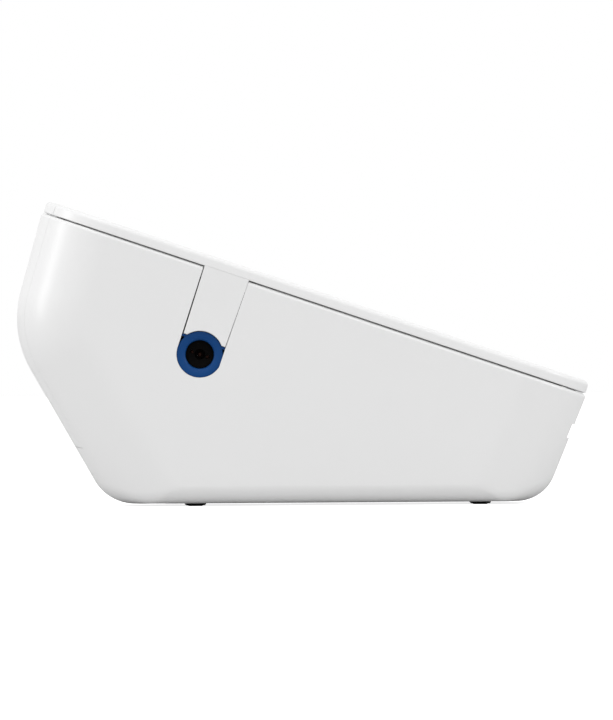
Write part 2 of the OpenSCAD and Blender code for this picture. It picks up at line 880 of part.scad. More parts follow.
module head_springs() {
    color("#C9C9C9") deck() for (x = [-6, 8, 22]) for (i = [0:4]) translate([x, 54 + 0.36 + i * 0.72, -12])
        rotate([90, 0, 0]) rotate_extrude($fn = 24) translate([1.8, 0]) circle(0.36, $fn = 12);
}

module tear_bar() {
    teeth = 28;
    pitch = 2 * door_half_top / teeth;
    color(steel) deck() {
        difference() {
            block(symmetric(tear_half), [exit_u - tear_sunk, exit_u + 0.25], tear_w);
            for (i = [-teeth / 2:teeth / 2]) translate([i * pitch, exit_u + 0.5, -3])
                rotate(45) cube([0.7, 0.7, 4]);
        }
    }
}

module stepper_motor() {
    color(steel) deck() {
        difference() {
            union() {
                bar([-28, -14], motor_at, 6);
                block([-28.6, -28], around(motor_at.x, 2.5), [-23, motor_at.y]);
            }
            bar([-30, -24], motor_at, shaft_r + running_gap);
        }
    }
}

shaft_r = 0.75;

module motor_shaft() {
    color(steel) deck() bar([gear_x[0], -24.2], motor_at, shaft_r);
}

// Toothed wheel with involute-like flanks, along X
module gear(x, at, teeth, bore, turn = 0) {
    module_size = 0.5;
    pitch_r = teeth * module_size / 2;
    root_r = pitch_r - 0.6;
    tip_r = pitch_r + 0.44;
    half_tooth = 90 / teeth - 2.6 / pitch_r;
    translate([x[0], at.x, at.y]) rotate([90, 0, 90]) linear_extrude(x[1] - x[0]) difference() {
        polygon([for (i = [0:teeth - 1]) let (a = turn + 360 / teeth * i) each [
            root_r * direction(a - 1.45 * half_tooth), pitch_r * direction(a - half_tooth),
            tip_r * direction(a - 0.45 * half_tooth), tip_r * direction(a + 0.45 * half_tooth),
            pitch_r * direction(a + half_tooth), root_r * direction(a + 1.45 * half_tooth)]]);
        circle(bore, $fn = round_fn);
    }
}

// Angle of the line between two points
function bearing(from, to) = atan2(to.y - from.y, to.x - from.x);

platen_teeth = 12;
idler_teeth = 24;
pinion_teeth = 10;

module platen_gear() {
    color("#E8E4D8") deck()
        gear(gear_x, platen_at, platen_teeth, 1.5, bearing(platen_at, idler_at) + 180 / platen_teeth);
}

module idler_gear() {
    color("#E8E4D8") deck()
        gear(gear_x, idler_at, idler_teeth, 1 + running_gap, bearing(idler_at, platen_at));
}

// The pinion's gap faces the nearest idler tooth
module motor_pinion() {
    pitch = 360 / idler_teeth;
    line = bearing(idler_at, motor_at);
    lag = (line - bearing(idler_at, platen_at)) / pitch;
    off = (lag - round(lag)) * pitch;
    color("#C9A94B") deck() gear(gear_x, motor_at, pinion_teeth, shaft_r,
        line + 180 + 180 / pinion_teeth + off * idler_teeth / pinion_teeth);
}

module idler_pin() {
    color(steel) deck() bar([frame_left[0], gear_x[1] + 0.6], idler_at, 1);
}

module platen_shaft() {
    color(steel) deck() bar([ear_left[0], ear_right[1]], platen_at, 1.5);
}

module platen_roller() {
    color("#303030") deck() difference() {
        bar(symmetric(28.5), platen_at, platen_r, 96);
        bar(symmetric(40), platen_at, 1.5);
    }
}

module platen_bushes() {
    color("#C8A24A") deck() for (x = [ear_left, ear_right]) difference() {
        bar(x, platen_at, bush_r);
        bar(symmetric(40), platen_at, 1.5 + running_gap);
    }
}

module door_hinge_pin() {
    color(steel) deck() bar(symmetric(33), hinge_at, hinge_pin_r);
}

catch_x = [18, 24];

module catch_magnets() {
    color(steel) deck() both_sides() block(catch_x, [strip_u + 0.4, strip_u + 2.9], [-7.2, -plate_t - 1]);
}

module catch_plates() {
    color(steel) deck() both_sides() block(catch_x, [exit_u - 2.6, exit_u - 0.8], [-7.2, -plate_t]);
}

module head_ribbon() {
    color("#C8862A") deck() {
        block([10, 22], [56.6, 57.6], [-17.4, -15]);
        block([10, 22], [55.4, 56.7], [-17.4, -17.2]);
        block([10, 22], [55.4, 55.6], [-22.6, -17.2]);
    }
}

// ---- Drawing ----

housing();
top_cover();
glass_panel();
glass_gasket();
lcd_panel();
lcd_frame();
contactless_antenna();
mid_plate();
chassis();
main_board();
board_chips();
board_screws();
battery_pack();
backup_cell();
card_reader_body();
card_contacts();
card_slot_bezel();
card_lever();
card_lever_pin();
swipe_channel();
mag_head();
mag_head_spring();
port_collar();
port_socket();
port_contacts();
power_button();
button_switch();
tamper_switches();
speaker();
foot_strip_front();
foot_strip_rear();
underside_label();
case_screws();
printer_frame();
print_head();
head_heatsink();
head_pivot_pin();
head_springs();
tear_bar();
stepper_motor();
motor_shaft();
motor_pinion();
idler_gear();
idler_pin();
platen_shaft();
platen_roller();
platen_gear();
platen_bushes();
paper_door();
door_hinge_pin();
catch_magnets();
catch_plates();
paper_roll();
paper_core();
display_ribbon();
head_ribbon();
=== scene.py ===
"""Countertop card payment terminal: detailed shells, small parts, finishes, light and camera."""
import json
import math
from contextlib import contextmanager

import bmesh
import bpy
import numpy as np
from mathutils import Matrix, Vector

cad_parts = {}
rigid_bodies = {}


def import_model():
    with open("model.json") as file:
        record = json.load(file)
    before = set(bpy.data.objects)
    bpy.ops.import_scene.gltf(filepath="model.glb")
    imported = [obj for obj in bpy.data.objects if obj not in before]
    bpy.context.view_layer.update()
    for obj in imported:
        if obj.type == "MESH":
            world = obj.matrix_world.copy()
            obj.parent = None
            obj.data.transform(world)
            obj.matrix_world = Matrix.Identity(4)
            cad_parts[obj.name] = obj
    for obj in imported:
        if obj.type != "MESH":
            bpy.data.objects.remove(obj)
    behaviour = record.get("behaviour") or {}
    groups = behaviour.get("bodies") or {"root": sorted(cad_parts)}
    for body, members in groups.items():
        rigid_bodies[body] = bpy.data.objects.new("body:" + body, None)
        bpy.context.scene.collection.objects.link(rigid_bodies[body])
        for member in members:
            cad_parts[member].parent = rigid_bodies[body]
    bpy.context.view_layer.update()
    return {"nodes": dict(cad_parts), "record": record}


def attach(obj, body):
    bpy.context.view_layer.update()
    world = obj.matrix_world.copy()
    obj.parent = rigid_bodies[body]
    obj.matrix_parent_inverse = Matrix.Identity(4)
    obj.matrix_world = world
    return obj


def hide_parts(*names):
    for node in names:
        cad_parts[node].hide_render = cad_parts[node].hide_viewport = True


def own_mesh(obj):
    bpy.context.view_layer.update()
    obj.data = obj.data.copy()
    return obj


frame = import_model()
MM = 0.001

# ---- Sizes, in millimetres, in the deck frame: X across, U up the slope of the plate, W out of it ----

DECK_TILT = math.radians(18.9)
DECK_HEIGHT = 53.15
DECK_SHIFT = 4.05
HALF_WIDTH = 43.0
HALF_LENGTH = 71.0
CORNER_R = 17.5
WALL = 2.2
DRAFT = math.radians(3.3)
PLATE_T = 2.96
RIM_W = -3.55
RIM_STEP = 0.36
RIM_TOP = -3.24
RIM_R = 0.95
KNEE_DEPTH = 30.6
CHAMFER_LEAN = math.radians(29.6)
FOOT_HEIGHT = 0.7
BASE_EDGE_R = 4.5
CORNER_RADII = (0, 26, 11.5, 10, 0)
CORNER_STEPS = (0, 28, 18, 18, 0)
SIDE_STEPS = 22

SLOT_INNER_X = 38.3
SLOT_OUTER_X = 39.7
STRIPE_DEPTH = 11.2
CHIP_SLOT_HALF = 28.0
CHIP_SLOT_W = (-13.6, -12.4)
BUTTON_AT = (43.0, -22.0)
BUTTON_SIZE = (12.0, 5.0)
TONGUE_U = 22.9
TONGUE_TOP_HALF = 5.775
TONGUE_END_HALF = 5.425
PORT = (22.9, -24.2)
SHOULDER_W = -20.5
COLLAR_R = 5.72
COLLAR_FACE_X = -41.4
COLLAR_BACK_X = -40.2
PORT_BORE_R = 3.5
DOOR_GAP = 0.07
TONGUE_FRONT_GAP = 0.16
TONGUE_REAR_GAP = 0.35
LINER = 1.25
DOOR_HALF_TOP = 34.5
DOOR_HALF_HINGE = 30.8
DOOR_SWING = math.radians(70)
STRIP_U = 64.0
EXIT_U = 62.5
HINGE_DEPTH = 4.6
HINGE_UP = 19.88
HINGE_PIN_R = 0.95
BARREL_R = 2.8
PLATEN = (64.0, -13.0)
IDLER = (55.415, -15.7)
MOTOR = (47.0, -14.5)
GEAR_X = (-31.4, -29.4)
ROLL = (26.8, -33.0)
ROLL_R = 19.5
SCREWS = ((-33, 36), (33, 36), (-32, -36), (32, -36))
FEET = {"foot_strip_rear": 26.85, "foot_strip_front": -43.95}
FOOT_HALF = 32.0
FOOT_WIDTH = 5.35
GLASS_X = (-38.6, 34.0)
GLASS_U = (-66.1, 59.5)
LABEL = (40.0, 24.0, -18.0)

DECK = (Matrix.Translation((0, -DECK_SHIFT * MM, DECK_HEIGHT * MM))
        @ Matrix.Rotation(DECK_TILT, 4, "X") @ Matrix.Scale(MM, 4))
ROW = Matrix.Scale(MM, 4)

# Spans that run past the whole body, for tools that cut right through
ACROSS = (-60, 60)
ALONG = (-90, 90)
DEEP = (-9, 5)
QUARTER = math.pi / 2


def add_object(name, content):
    """Puts an object with its mesh, lamp or lens into the scene."""
    made = bpy.data.objects.new(name, content)
    bpy.context.collection.objects.link(made)
    return made


# ---- Camera: square on to the left wall through a long lens, before anything else ----

VIEW_DISTANCE = 4.5
VIEW_HEIGHT = 0.1783
VIEW_CENTRE = (-0.043, -0.001, 0.0361)
VIEW_ROLL = math.radians(-0.4)


def make_camera():
    """Makes the camera that looks along +X at the wall with the port."""
    lens = bpy.data.cameras.new("side_camera")
    camera = add_object("side_camera", lens)
    lens.lens = lens.sensor_width * VIEW_DISTANCE / VIEW_HEIGHT
    lens.clip_end = 20
    place = Matrix.Translation(Vector(VIEW_CENTRE) - Vector((VIEW_DISTANCE, 0, 0)))
    turn = Matrix.Rotation(math.radians(-90), 4, "Z") @ Matrix.Rotation(math.radians(90), 4, "X")
    camera.matrix_world = place @ turn @ Matrix.Rotation(VIEW_ROLL, 4, "Z")
    bpy.context.scene.camera = camera


make_camera()


# ---- Shader maths: a socket that takes part in Python expressions ----

class Sum:
    """Wraps a socket or a number, so that an expression on values adds its Math nodes."""

    def __init__(self, shader, socket):
        self.shader = shader
        self.socket = socket

    def _math(self, operation, *values):
        return self.shader.node("ShaderNodeMath", {"operation": operation}, dict(enumerate(values)))

    def __add__(self, other):
        return self._math("ADD", self, other)

    def __radd__(self, other):
        return self._math("ADD", other, self)

    def __sub__(self, other):
        return self._math("SUBTRACT", self, other)

    def __rsub__(self, other):
        return self._math("SUBTRACT", other, self)

    def __mul__(self, other):
        return self._math("MULTIPLY", self, other)

    def __rmul__(self, other):
        return self._math("MULTIPLY", other, self)

    def above(self, level, soft):
        """0 below the level, 1 above it, with a soft step between."""
        return self.shader.node("ShaderNodeMapRange", {"interpolation_type": "SMOOTHSTEP"},
                                {"Value": self, "From Min": level - soft, "From Max": level + soft})


class Shader:
    """One material's node tree, with the finish set on the Principled shader's own sockets."""

    def __init__(self, name, **constants):
        self.material = bpy.data.materials.new(name)
        self.material.use_nodes = True
        self.tree = self.material.node_tree
        self.surface = self.tree.nodes["Principled BSDF"]
        for socket, value in constants.items():
            self.surface.inputs[socket.replace("_", " ")].default_value = value

    def node(self, kind, settings=None, values=None, out=0):
        """Adds a node: its settings first, then the values or links of its sockets."""
        made = self.tree.nodes.new(kind)
        for key, value in (settings or {}).items():
            setattr(made, key, value)
        for key, value in (values or {}).items():
            socket = made.inputs[key]
            if isinstance(value, Sum):
                self.tree.links.new(value.socket, socket)
            else:
                socket.default_value = value
        return Sum(self, made.outputs[out])

    def maths(self, operation, value):
        """One Math node on one value."""
        return self.node("ShaderNodeMath", {"operation": operation}, {0: value})

    def part(self, vector, axis="X"):
        """One coordinate of a vector."""
        return self.node("ShaderNodeSeparateXYZ", {}, {"Vector": vector}, out=axis)

    def waves(self, value):
        """Even waves from 0 to 1 along a value in radians."""
        return self.maths("SINE", value) * 0.5 + 0.5

    def place(self, scale=(1, 1, 1), turn=(0, 0, 0), move=(0, 0, 0)):
        """Object coordinates, moved, turned and scaled."""
        coordinates = self.node("ShaderNodeTexCoord", out="Object")
        return self.node("ShaderNodeMapping", {},
                         {"Vector": coordinates, "Location": move, "Rotation": turn, "Scale": scale})

    def noise(self, scale, detail=3.0, at=None, rough=0.5):
        """Cloudy noise from 0 to 1. The scale is in blobs per metre."""
        return self.node("ShaderNodeTexNoise", {}, {
            "Vector": at or self.place(), "Scale": scale, "Detail": detail, "Roughness": rough})

    def mix(self, factor, first, second):
        """Mix of two colours."""
        made = self.tree.nodes.new("ShaderNodeMix")
        made.data_type = "RGBA"
        for key, value in ((0, factor), (6, first), (7, second)):
            if isinstance(value, Sum):
                self.tree.links.new(value.socket, made.inputs[key])
            else:
                made.inputs[key].default_value = value
        return Sum(self, made.outputs[2])

    def give(self, **links):
        """Links sockets of the Principled shader."""
        for socket, value in links.items():
            self.tree.links.new(value.socket, self.surface.inputs[socket.replace("_", " ")])

    def bump(self, height, strength, distance):
        """A Bump node that feeds the normal. The distance is in metres."""
        self.give(Normal=self.node("ShaderNodeBump", {}, {
            "Height": height, "Strength": strength, "Distance": distance}))


def rgb(red, green, blue):
    return (red, green, blue, 1.0)


def darker(colour, by):
    return tuple(channel * by for channel in colour[:3]) + (1.0,)


def moulded(name, colour, rough, grain_depth, grain, blotch, **more):
    """Injection-moulded plastic: a fine spark-eroded grain and slow changes of gloss and shade."""
    s = Shader(name, IOR=1.49, **more)
    slow = s.noise(38, 2)
    fine = s.noise(grain, 2, rough=0.6)
    s.give(Base_Color=s.mix(slow, darker(colour, 1 - blotch), colour),
           Roughness=slow * 0.07 + fine * 0.05 + (rough - 0.06))
    s.bump(fine, 0.35, grain_depth)
    return s.material


def metal(name, colour, rough):
    """Rolled or ground metal: streaks along X and a faint change of colour."""
    s = Shader(name, Metallic=1.0)
    streaks = s.noise(1.0, 3, at=s.place(scale=(4, 900, 900)))
    cloud = s.noise(60, 3)
    s.give(Base_Color=s.mix(cloud * 0.6 + streaks * 0.4, darker(colour, 0.82), colour),
           Roughness=streaks * 0.16 + cloud * 0.08 + (rough - 0.12))
    s.bump(streaks, 0.3, 0.000004)
    return s.material


# ---- Finishes ----

def touch_glass():
    """Black back-printed glass: the display's own area is a shade lighter, with faint wiping marks."""
    s = Shader("touch_glass", IOR=1.45)
    across = s.maths("ABSOLUTE", s.part(s.place(move=(0.0023, 0, 0))))
    panel = 1 - across.above(0.0343, 0.0002)
    wipes = s.noise(1, 4, at=s.place(scale=(220, 26, 26), turn=(0, 0, 0.5)), rough=0.65)
    s.give(Base_Color=s.mix(panel, rgb(0.0055, 0.006, 0.007), rgb(0.010, 0.0115, 0.0135)),
           Roughness=wipes * 0.06 + 0.035)
    return s.material


def wound_paper():
    """Thermal paper: fine rings on the wound ends and a slight fibre mottle."""
    s = Shader("wound_paper", IOR=1.4, Specular_IOR_Level=0.25)
    centre = roll_centre()
    near = s.place(move=(0, -centre.y, -centre.z))
    along, up = s.part(near, "Y"), s.part(near, "Z")
    radius = s.maths("SQRT", along * along + up * up)
    layers = s.waves(radius * 9000)
    mottle = s.noise(420, 4)
    bands = s.noise(1, 2, at=s.node("ShaderNodeCombineXYZ", {}, {"X": radius * 900}))
    s.give(Base_Color=s.mix(bands * 0.45 + mottle * 0.3, rgb(0.70, 0.68, 0.62), rgb(0.90, 0.89, 0.85)),
           Roughness=mottle * 0.12 + 0.6)
    s.bump(layers * 0.6 + mottle * 0.4, 0.4, 0.00002)
    return s.material


def board_mask():
    """Solder mask over copper tracks."""
    s = Shader("board_mask", IOR=1.5, Coat_Weight=0.35, Coat_Roughness=0.2)
    tracks = s.node("ShaderNodeTexBrick", {"offset": 0.5}, {
        "Vector": s.place(turn=(DECK_TILT, 0, 0)), "Scale": 260.0, "Mortar Size": 0.03,
        "Color1": rgb(0, 0, 0), "Color2": rgb(0.3, 0.3, 0.3), "Mortar": rgb(1, 1, 1)})
    cloud = s.noise(160, 3)
    s.give(Base_Color=s.mix(tracks, rgb(0.008, 0.075, 0.03), rgb(0.03, 0.16, 0.07)),
           Roughness=cloud * 0.15 + 0.28)
    s.bump(tracks, 0.5, 0.00003)
    return s.material


def printed_film(name, colour, second, lines):
    """Film with fine parallel lines, such as flat-cable conductors."""
    s = Shader(name, IOR=1.5)
    wave = s.waves(s.part(s.place()) * lines)
    s.give(Base_Color=s.mix(wave.above(0.5, 0.25), colour, second), Roughness=wave * 0.12 + 0.3)
    s.bump(wave, 0.4, 0.00003)
    return s.material


# Moulded finishes by slot: name, colour, roughness, grain depth in metres, grains per metre, blotch
MOULDED = {
    "white_shell": ("white_moulding", (0.80, 0.80, 0.80), 0.30, 4e-6, 1900, 0.015),
    "black_plastic": ("black_moulding", (0.012, 0.0115, 0.011), 0.42, 12e-6, 1500, 0.2),
    "port_blue": ("blue_moulding", (0.001, 0.050, 0.195), 0.42, 8e-6, 1800, 0.10),
    # The port socket's colour, darker and browner than black_plastic, is painted shade inside the port's bore.
    "port_black": ("port_black", (0.0045, 0.0032, 0.003), 0.55, 8e-6, 1500, 0.2),
    # The contacts' dark brown, far below brass, is painted shade deep inside the port's bore.
    "contact": ("worn_contact", (0.05, 0.018, 0.012), 0.5, 4e-6, 1500, 0.3),
    "display": ("display_panel", (0.018, 0.02, 0.023), 0.22, 1e-6, 400, 0.2),
    "grey_plastic": ("grey_moulding", (0.095, 0.10, 0.108), 0.48, 12e-6, 1400, 0.12),
    "ivory_plastic": ("ivory_acetal", (0.74, 0.70, 0.60), 0.36, 6e-6, 1500, 0.06),
    "head_ceramic": ("glazed_ceramic", (0.70, 0.66, 0.56), 0.16, 2e-6, 700, 0.08),
    "black_rubber": ("black_rubber", (0.016, 0.0155, 0.015), 0.66, 25e-6, 1100, 0.25),
    "label_film": ("label_film", (0.60, 0.61, 0.62), 0.42, 4e-6, 900, 0.05),
    "cardboard": ("wound_board", (0.40, 0.29, 0.17), 0.8, 40e-6, 600, 0.25),
}
SHINE = {"port_blue": {"Specular_IOR_Level": 0.18}, "port_black": {"Specular_IOR_Level": 0.12},
         "contact": {"Metallic": 0.8}}


def make_finishes():
    """Every finish, by the record's material slot."""
    finishes = {slot: moulded(name, rgb(*colour), *rest, **SHINE.get(slot, {}))
                for slot, (name, colour, *rest) in MOULDED.items()}
    finishes.update({
        "touch_glass": touch_glass(),
        "steel": metal("ground_steel", rgb(0.58, 0.585, 0.59), 0.34),
        "brass": metal("turned_brass", rgb(0.78, 0.57, 0.22), 0.30),
        "copper_foil": printed_film("copper_film", rgb(0.42, 0.17, 0.035), rgb(0.62, 0.33, 0.09), 9000),
        "board_green": board_mask(),
        "battery_wrap": printed_film("battery_wrap", rgb(0.02, 0.026, 0.12), rgb(0.035, 0.045, 0.19), 500),
        "paper": wound_paper(),
    })
    return finishes


# ---- Mesh tools ----

def deck_point(x, u, w):
    """A point of the deck frame, in metres in the row frame."""
    return DECK @ Vector((x, u, w))


def roll_centre():
    return deck_point(0, *ROLL)


@contextmanager
def editing(mesh):
    """Opens a mesh for edits and writes it back."""
    work = bmesh.new()
    work.from_mesh(mesh)
    yield work
    work.to_mesh(mesh)
    work.free()


def solid(name, points, faces, place=DECK):
    """A mesh object from points in millimetres, closed and facing outwards."""
    mesh = bpy.data.meshes.new(name)
    mesh.from_pydata([place @ Vector(p) for p in points], [], faces)
    with editing(mesh) as work:
        bmesh.ops.remove_doubles(work, verts=work.verts, dist=1e-8)
        bmesh.ops.recalc_face_normals(work, faces=work.faces)
    return add_object(name, mesh)


def ball(name, r, centre, segments, rings):
    """Sphere about a point of the deck frame, for a finger hollow."""
    work = bmesh.new()
    bmesh.ops.create_uvsphere(work, u_segments=segments, v_segments=rings, radius=r,
                              matrix=Matrix.Translation(centre))
    mesh = bpy.data.meshes.new(name)
    work.to_mesh(mesh)
    work.free()
    mesh.transform(DECK)
    return add_object(name, mesh)


def lathe_or_loft(name, loops, place=DECK, closed=False):
    """A solid through rings of points. It is capped at both ends, or closed on itself like a frame."""
    count = len(loops[0])
    points = [p for loop in loops for p in loop]
    turns = len(loops) if closed else len(loops) - 1
    faces = []
    for k in range(turns):
        a0, b0 = k * count, (k + 1) % len(loops) * count
        faces += [(a0 + j, a0 + (j + 1) % count, b0 + (j + 1) % count, b0 + j) for j in range(count)]
    if not closed:
        faces += [tuple(range(count))[::-1], tuple(range(len(points) - count, len(points)))]
    return solid(name, points, faces, place)


def block(name, x, u, w, place=DECK):
    """Box between the ends given for X, U (or Y) and W (or Z)."""
    loop = [(x[0], u[0]), (x[1], u[0]), (x[1], u[1]), (x[0], u[1])]
    return lathe_or_loft(name, [[(px, pu, level) for px, pu in loop] for level in w], place)


def turn_angles(steps):
    return [2 * math.pi * i / steps for i in range(steps)]


def on_circle(at, r, a):
    return (at[0] + r * math.cos(a), at[1] + r * math.sin(a))


def outline_solid(name, outline, x):
    """A side view, as points of (u, w), carried across X between two ends."""
    return lathe_or_loft(name, [[(px, u, w) for u, w in outline] for px in x])


def round_bar(name, x, at, r, steps=64):
    """Round bar along X between two ends, at a point of the side view."""
    return outline_solid(name, [on_circle(at, r, a) for a in turn_angles(steps)], x)


def turned(name, profile, at, steps=96):
    """A solid turned about a line along X: its profile is points of (x, radius), closed on itself."""
    return lathe_or_loft(name, [[(x, *on_circle(at, r, a)) for x, r in profile] for a in turn_angles(steps)],
                         closed=True)


def cut(target, *tools, operation="DIFFERENCE", keep_tool=False):
    """Applies one boolean to the target for each tool and removes the tools."""
    for tool in tools:
        step = target.modifiers.new("cut", "BOOLEAN")
        step.operation = operation
        step.solver = "MANIFOLD"
        step.object = tool
        bake_modifiers(target)
        if not keep_tool:
            bpy.data.objects.remove(tool)


def join(target, *tools):
    cut(target, *tools, operation="UNION")


def keep_within(target, tool, keep_tool=False):
    cut(target, tool, operation="INTERSECT", keep_tool=keep_tool)


def bake_modifiers(target):
    """Replaces the mesh by the evaluated one and clears the modifiers."""
    graph = bpy.context.evaluated_depsgraph_get()
    graph.update()
    mesh = bpy.data.meshes.new_from_object(target.evaluated_get(graph))
    target.modifiers.clear()
    old = target.data
    target.data = mesh
    bpy.data.meshes.remove(old)


def finish_piece(piece, slot, body, *nodes, soft_angle=32, finish=None):
    """Gives a piece its finish, smooth shading, its body and the CAD nodes that it stands for."""
    piece.data.materials.clear()
    piece.data.materials.append(FINISHES[finish or slot])
    shade(piece, soft_angle)
    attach(piece, body)
    if nodes:
        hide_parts(*nodes)
    return piece


def shade(piece, soft_angle):
    """Smooth shading that stays crisp at edges sharper than the angle, with flats kept flat."""
    mesh = piece.data
    mesh.polygons.foreach_set("use_smooth", [True] * len(mesh.polygons))
    limit = math.radians(soft_angle)
    with editing(mesh) as work:
        bmesh.ops.remove_doubles(work, verts=work.verts, dist=2e-7)
        for edge in work.edges:
            edge.smooth = len(edge.link_faces) == 2 and edge.calc_face_angle(0.0) < limit
    weigh = piece.modifiers.new("weigh", "WEIGHTED_NORMAL")
    weigh.keep_sharp = True
    bake_modifiers(piece)


FINISHES = make_finishes()


# ---- Form of the body ----

def heading(angle):
    return np.array((math.cos(angle), math.sin(angle)))


WALL_ANGLES = (math.radians(90), -DRAFT, -DECK_TILT - CHAMFER_LEAN, math.radians(-90) - DECK_TILT,
               DRAFT - math.pi)
RIM_BACK = np.array((HALF_LENGTH + RIM_STEP, RIM_W))
KNEE = np.array((RIM_BACK[0] - KNEE_DEPTH * math.tan(DRAFT), RIM_W - KNEE_DEPTH))
RIM_FRONT = RIM_BACK * (-1, 1)
WALL_DISTANCES = (RIM_W, RIM_BACK @ heading(WALL_ANGLES[1]), KNEE @ heading(WALL_ANGLES[2]),
                  DECK_HEIGHT - FOOT_HEIGHT, RIM_FRONT @ heading(WALL_ANGLES[4]))


def crossing(a, da, b, db):
    """Crossing point of two lines, each a direction and a distance."""
    n, m = heading(a), heading(b)
    det = n[0] * m[1] - n[1] * m[0]
    return np.array((m[1] * da - n[1] * db, n[0] * db - m[0] * da)) / det


REAR_BASE = crossing(WALL_ANGLES[2], WALL_DISTANCES[2], WALL_ANGLES[3], WALL_DISTANCES[3])
HINGE = (REAR_BASE + HINGE_UP * heading(WALL_ANGLES[2] + math.pi / 2)
         - HINGE_DEPTH * heading(WALL_ANGLES[2]))
LIP_R = HINGE_DEPTH / math.cos(DOOR_SWING / 2)


def rounded_corner(at, a, b, r, steps):
    """Points of a rounded corner between two walls."""
    if r == 0:
        return [at]
    middle, half = (a + b) / 2, abs(a - b) / 2
    centre = at - heading(middle) * r / math.cos(half)
    return [centre + r * heading(a + (b - a) * i / steps) for i in range(steps + 1)]


def side_view(in_wall, in_base, top):
    """Side view of the body with its walls and base drawn in."""
    distances = (top, WALL_DISTANCES[1] - in_wall, WALL_DISTANCES[2] - in_wall,
                 WALL_DISTANCES[3] - in_base, WALL_DISTANCES[4] - in_wall)
    points = []
    for i in range(5):
        j = (i + 1) % 5
        at = crossing(WALL_ANGLES[i], distances[i], WALL_ANGLES[j], distances[j])
        r = max(CORNER_RADII[i] - 0.7 * in_wall, 2) if CORNER_RADII[i] else 0
        points += rounded_corner(at, WALL_ANGLES[i], WALL_ANGLES[j], r, CORNER_STEPS[i])
    return points


def taper(w):
    return 1 + (w - RIM_W) * math.tan(DRAFT) / HALF_WIDTH


def body_form(name, skin, top, rim_r=0.0):
    """Solid of the body, drawn in by a skin thickness, with its rim rounded if a radius is given."""
    r, edge_r = CORNER_R - skin, BASE_EDGE_R - skin
    quarter = [QUARTER * i / SIDE_STEPS for i in range(SIDE_STEPS + 1)]
    loops = []
    for side in (-1, 1):
        for a in (quarter[::-1] if side < 0 else quarter):
            x = side * (HALF_WIDTH - CORNER_R + r * math.sin(a))
            past = max(abs(x) - (HALF_WIDTH - BASE_EDGE_R), 0)
            in_base = skin + edge_r - math.sqrt(max(edge_r ** 2 - past ** 2, 0))
            view = side_view(skin + r * (1 - math.cos(a)), in_base, top)
            loops.append([(x * taper(w), u, w) for u, w in view])
    form = lathe_or_loft(name, loops)
    if rim_r:
        round_rim(form, top, rim_r)
    return form


def round_rim(form, top, r):
    """Rounds the edge between the walls and the flat top."""
    level = DECK.inverted()
    with editing(form.data) as work:
        bevel(work, r, 7, [e for e in work.edges if e.calc_face_angle(0.0) > math.radians(60)
                           and all(abs((level @ v.co).z - top) < 1e-4 for v in e.verts)])


def bevel(work, width, segments, edges):
    """Rounds edges by a width in millimetres."""
    bmesh.ops.bevel(work, geom=edges, offset=width * MM, offset_type="OFFSET", segments=segments,
                    profile=0.5, affect="EDGES", clamp_overlap=False)



# ---- Plate and glass outlines ----

def plan_loop(half_x, half_u, r, w, centre=(0.0, 0.0), steps=14):
    """A rounded rectangle at one level, as points of (x, u, w), with the same count for every size."""
    points = []
    for k, (sx, su) in enumerate(((1, 1), (-1, 1), (-1, -1), (1, -1))):
        for i in range(steps + 1):
            a = QUARTER * (k + i / steps)
            points.append((centre[0] + sx * (half_x - r) + r * math.cos(a),
                           centre[1] + su * (half_u - r) + r * math.sin(a), w))
    return points


def edge_round(r, top, steps=7):
    """(inset, level) pairs of a rounded top edge, from the wall to the flat."""
    return [(r * (1 - math.cos(QUARTER * i / steps)), top - r + r * math.sin(QUARTER * i / steps))
            for i in range(steps + 1)]


def slab_form(name, half_x, half_u, r, centre, levels):
    """A rounded slab through (inset, level) pairs."""
    return lathe_or_loft(name, [plan_loop(half_x - d, half_u - d, max(r - d, 0.05), w, centre)
                                for d, w in levels])


PLATE_EDGE_R = 1.25


def plate_levels(bottom):
    """(inset, level) pairs of the plate's edge, from a level up to the top."""
    return [(0.2, bottom), (0, bottom + 0.2)] + edge_round(PLATE_EDGE_R, 0)


def plate_loop(d, w):
    """The plate's outline, drawn in."""
    return plan_loop(HALF_WIDTH - d, HALF_LENGTH - d, CORNER_R - d, w)


def plate_form(name, bottom):
    """The whole plate outline with its top edge rounded, down to a level."""
    return lathe_or_loft(name, [plate_loop(d, w) for d, w in plate_levels(bottom)])


def middle(span):
    return (span[0] + span[1]) / 2


def half(span):
    return (span[1] - span[0]) / 2


def wide(span, by):
    return (span[0] - by, span[1] + by)


def about(centre, reach):
    return (centre - reach, centre + reach)


LCD_X = (-36.95, 32.35)
LCD_U = (-64.8, 58.0)
LCD_ROOM = 0.25
GLASS_R = 6
GLASS_LEDGE = 1.2
GLASS_CENTRE = (middle(GLASS_X), middle(GLASS_U))


def plate_frame(name):
    """The plate with its stepped opening for the glass and the display."""
    loops = [plate_loop(d, w) for d, w in plate_levels(-PLATE_T)]
    for grow, w in ((0.32, 0), (0.2, -0.12), (0.2, -GLASS_LEDGE)):
        loops.append(plan_loop(half(GLASS_X) + grow, half(GLASS_U) + grow, GLASS_R + grow, w, GLASS_CENTRE))
    for w in (-GLASS_LEDGE, -PLATE_T):
        loops.append(plan_loop(half(LCD_X) + LCD_ROOM, half(LCD_U) + LCD_ROOM, 2, w,
                               (middle(LCD_X), middle(LCD_U))))
    return lathe_or_loft(name, loops, closed=True)


# ---- Tongue, port and collar ----

def arc(centre, r, start, end, steps):
    return [on_circle(centre, r, start + (end - start) * i / steps) for i in range(steps + 1)]


def oblong_ring(centre, reach, r, steps):
    """Outline of two half circles joined by straight sides."""
    return (arc((centre[0] + reach, centre[1]), r, -QUARTER, QUARTER, steps)
            + arc((centre[0] - reach, centre[1]), r, QUARTER, 3 * QUARTER, steps))


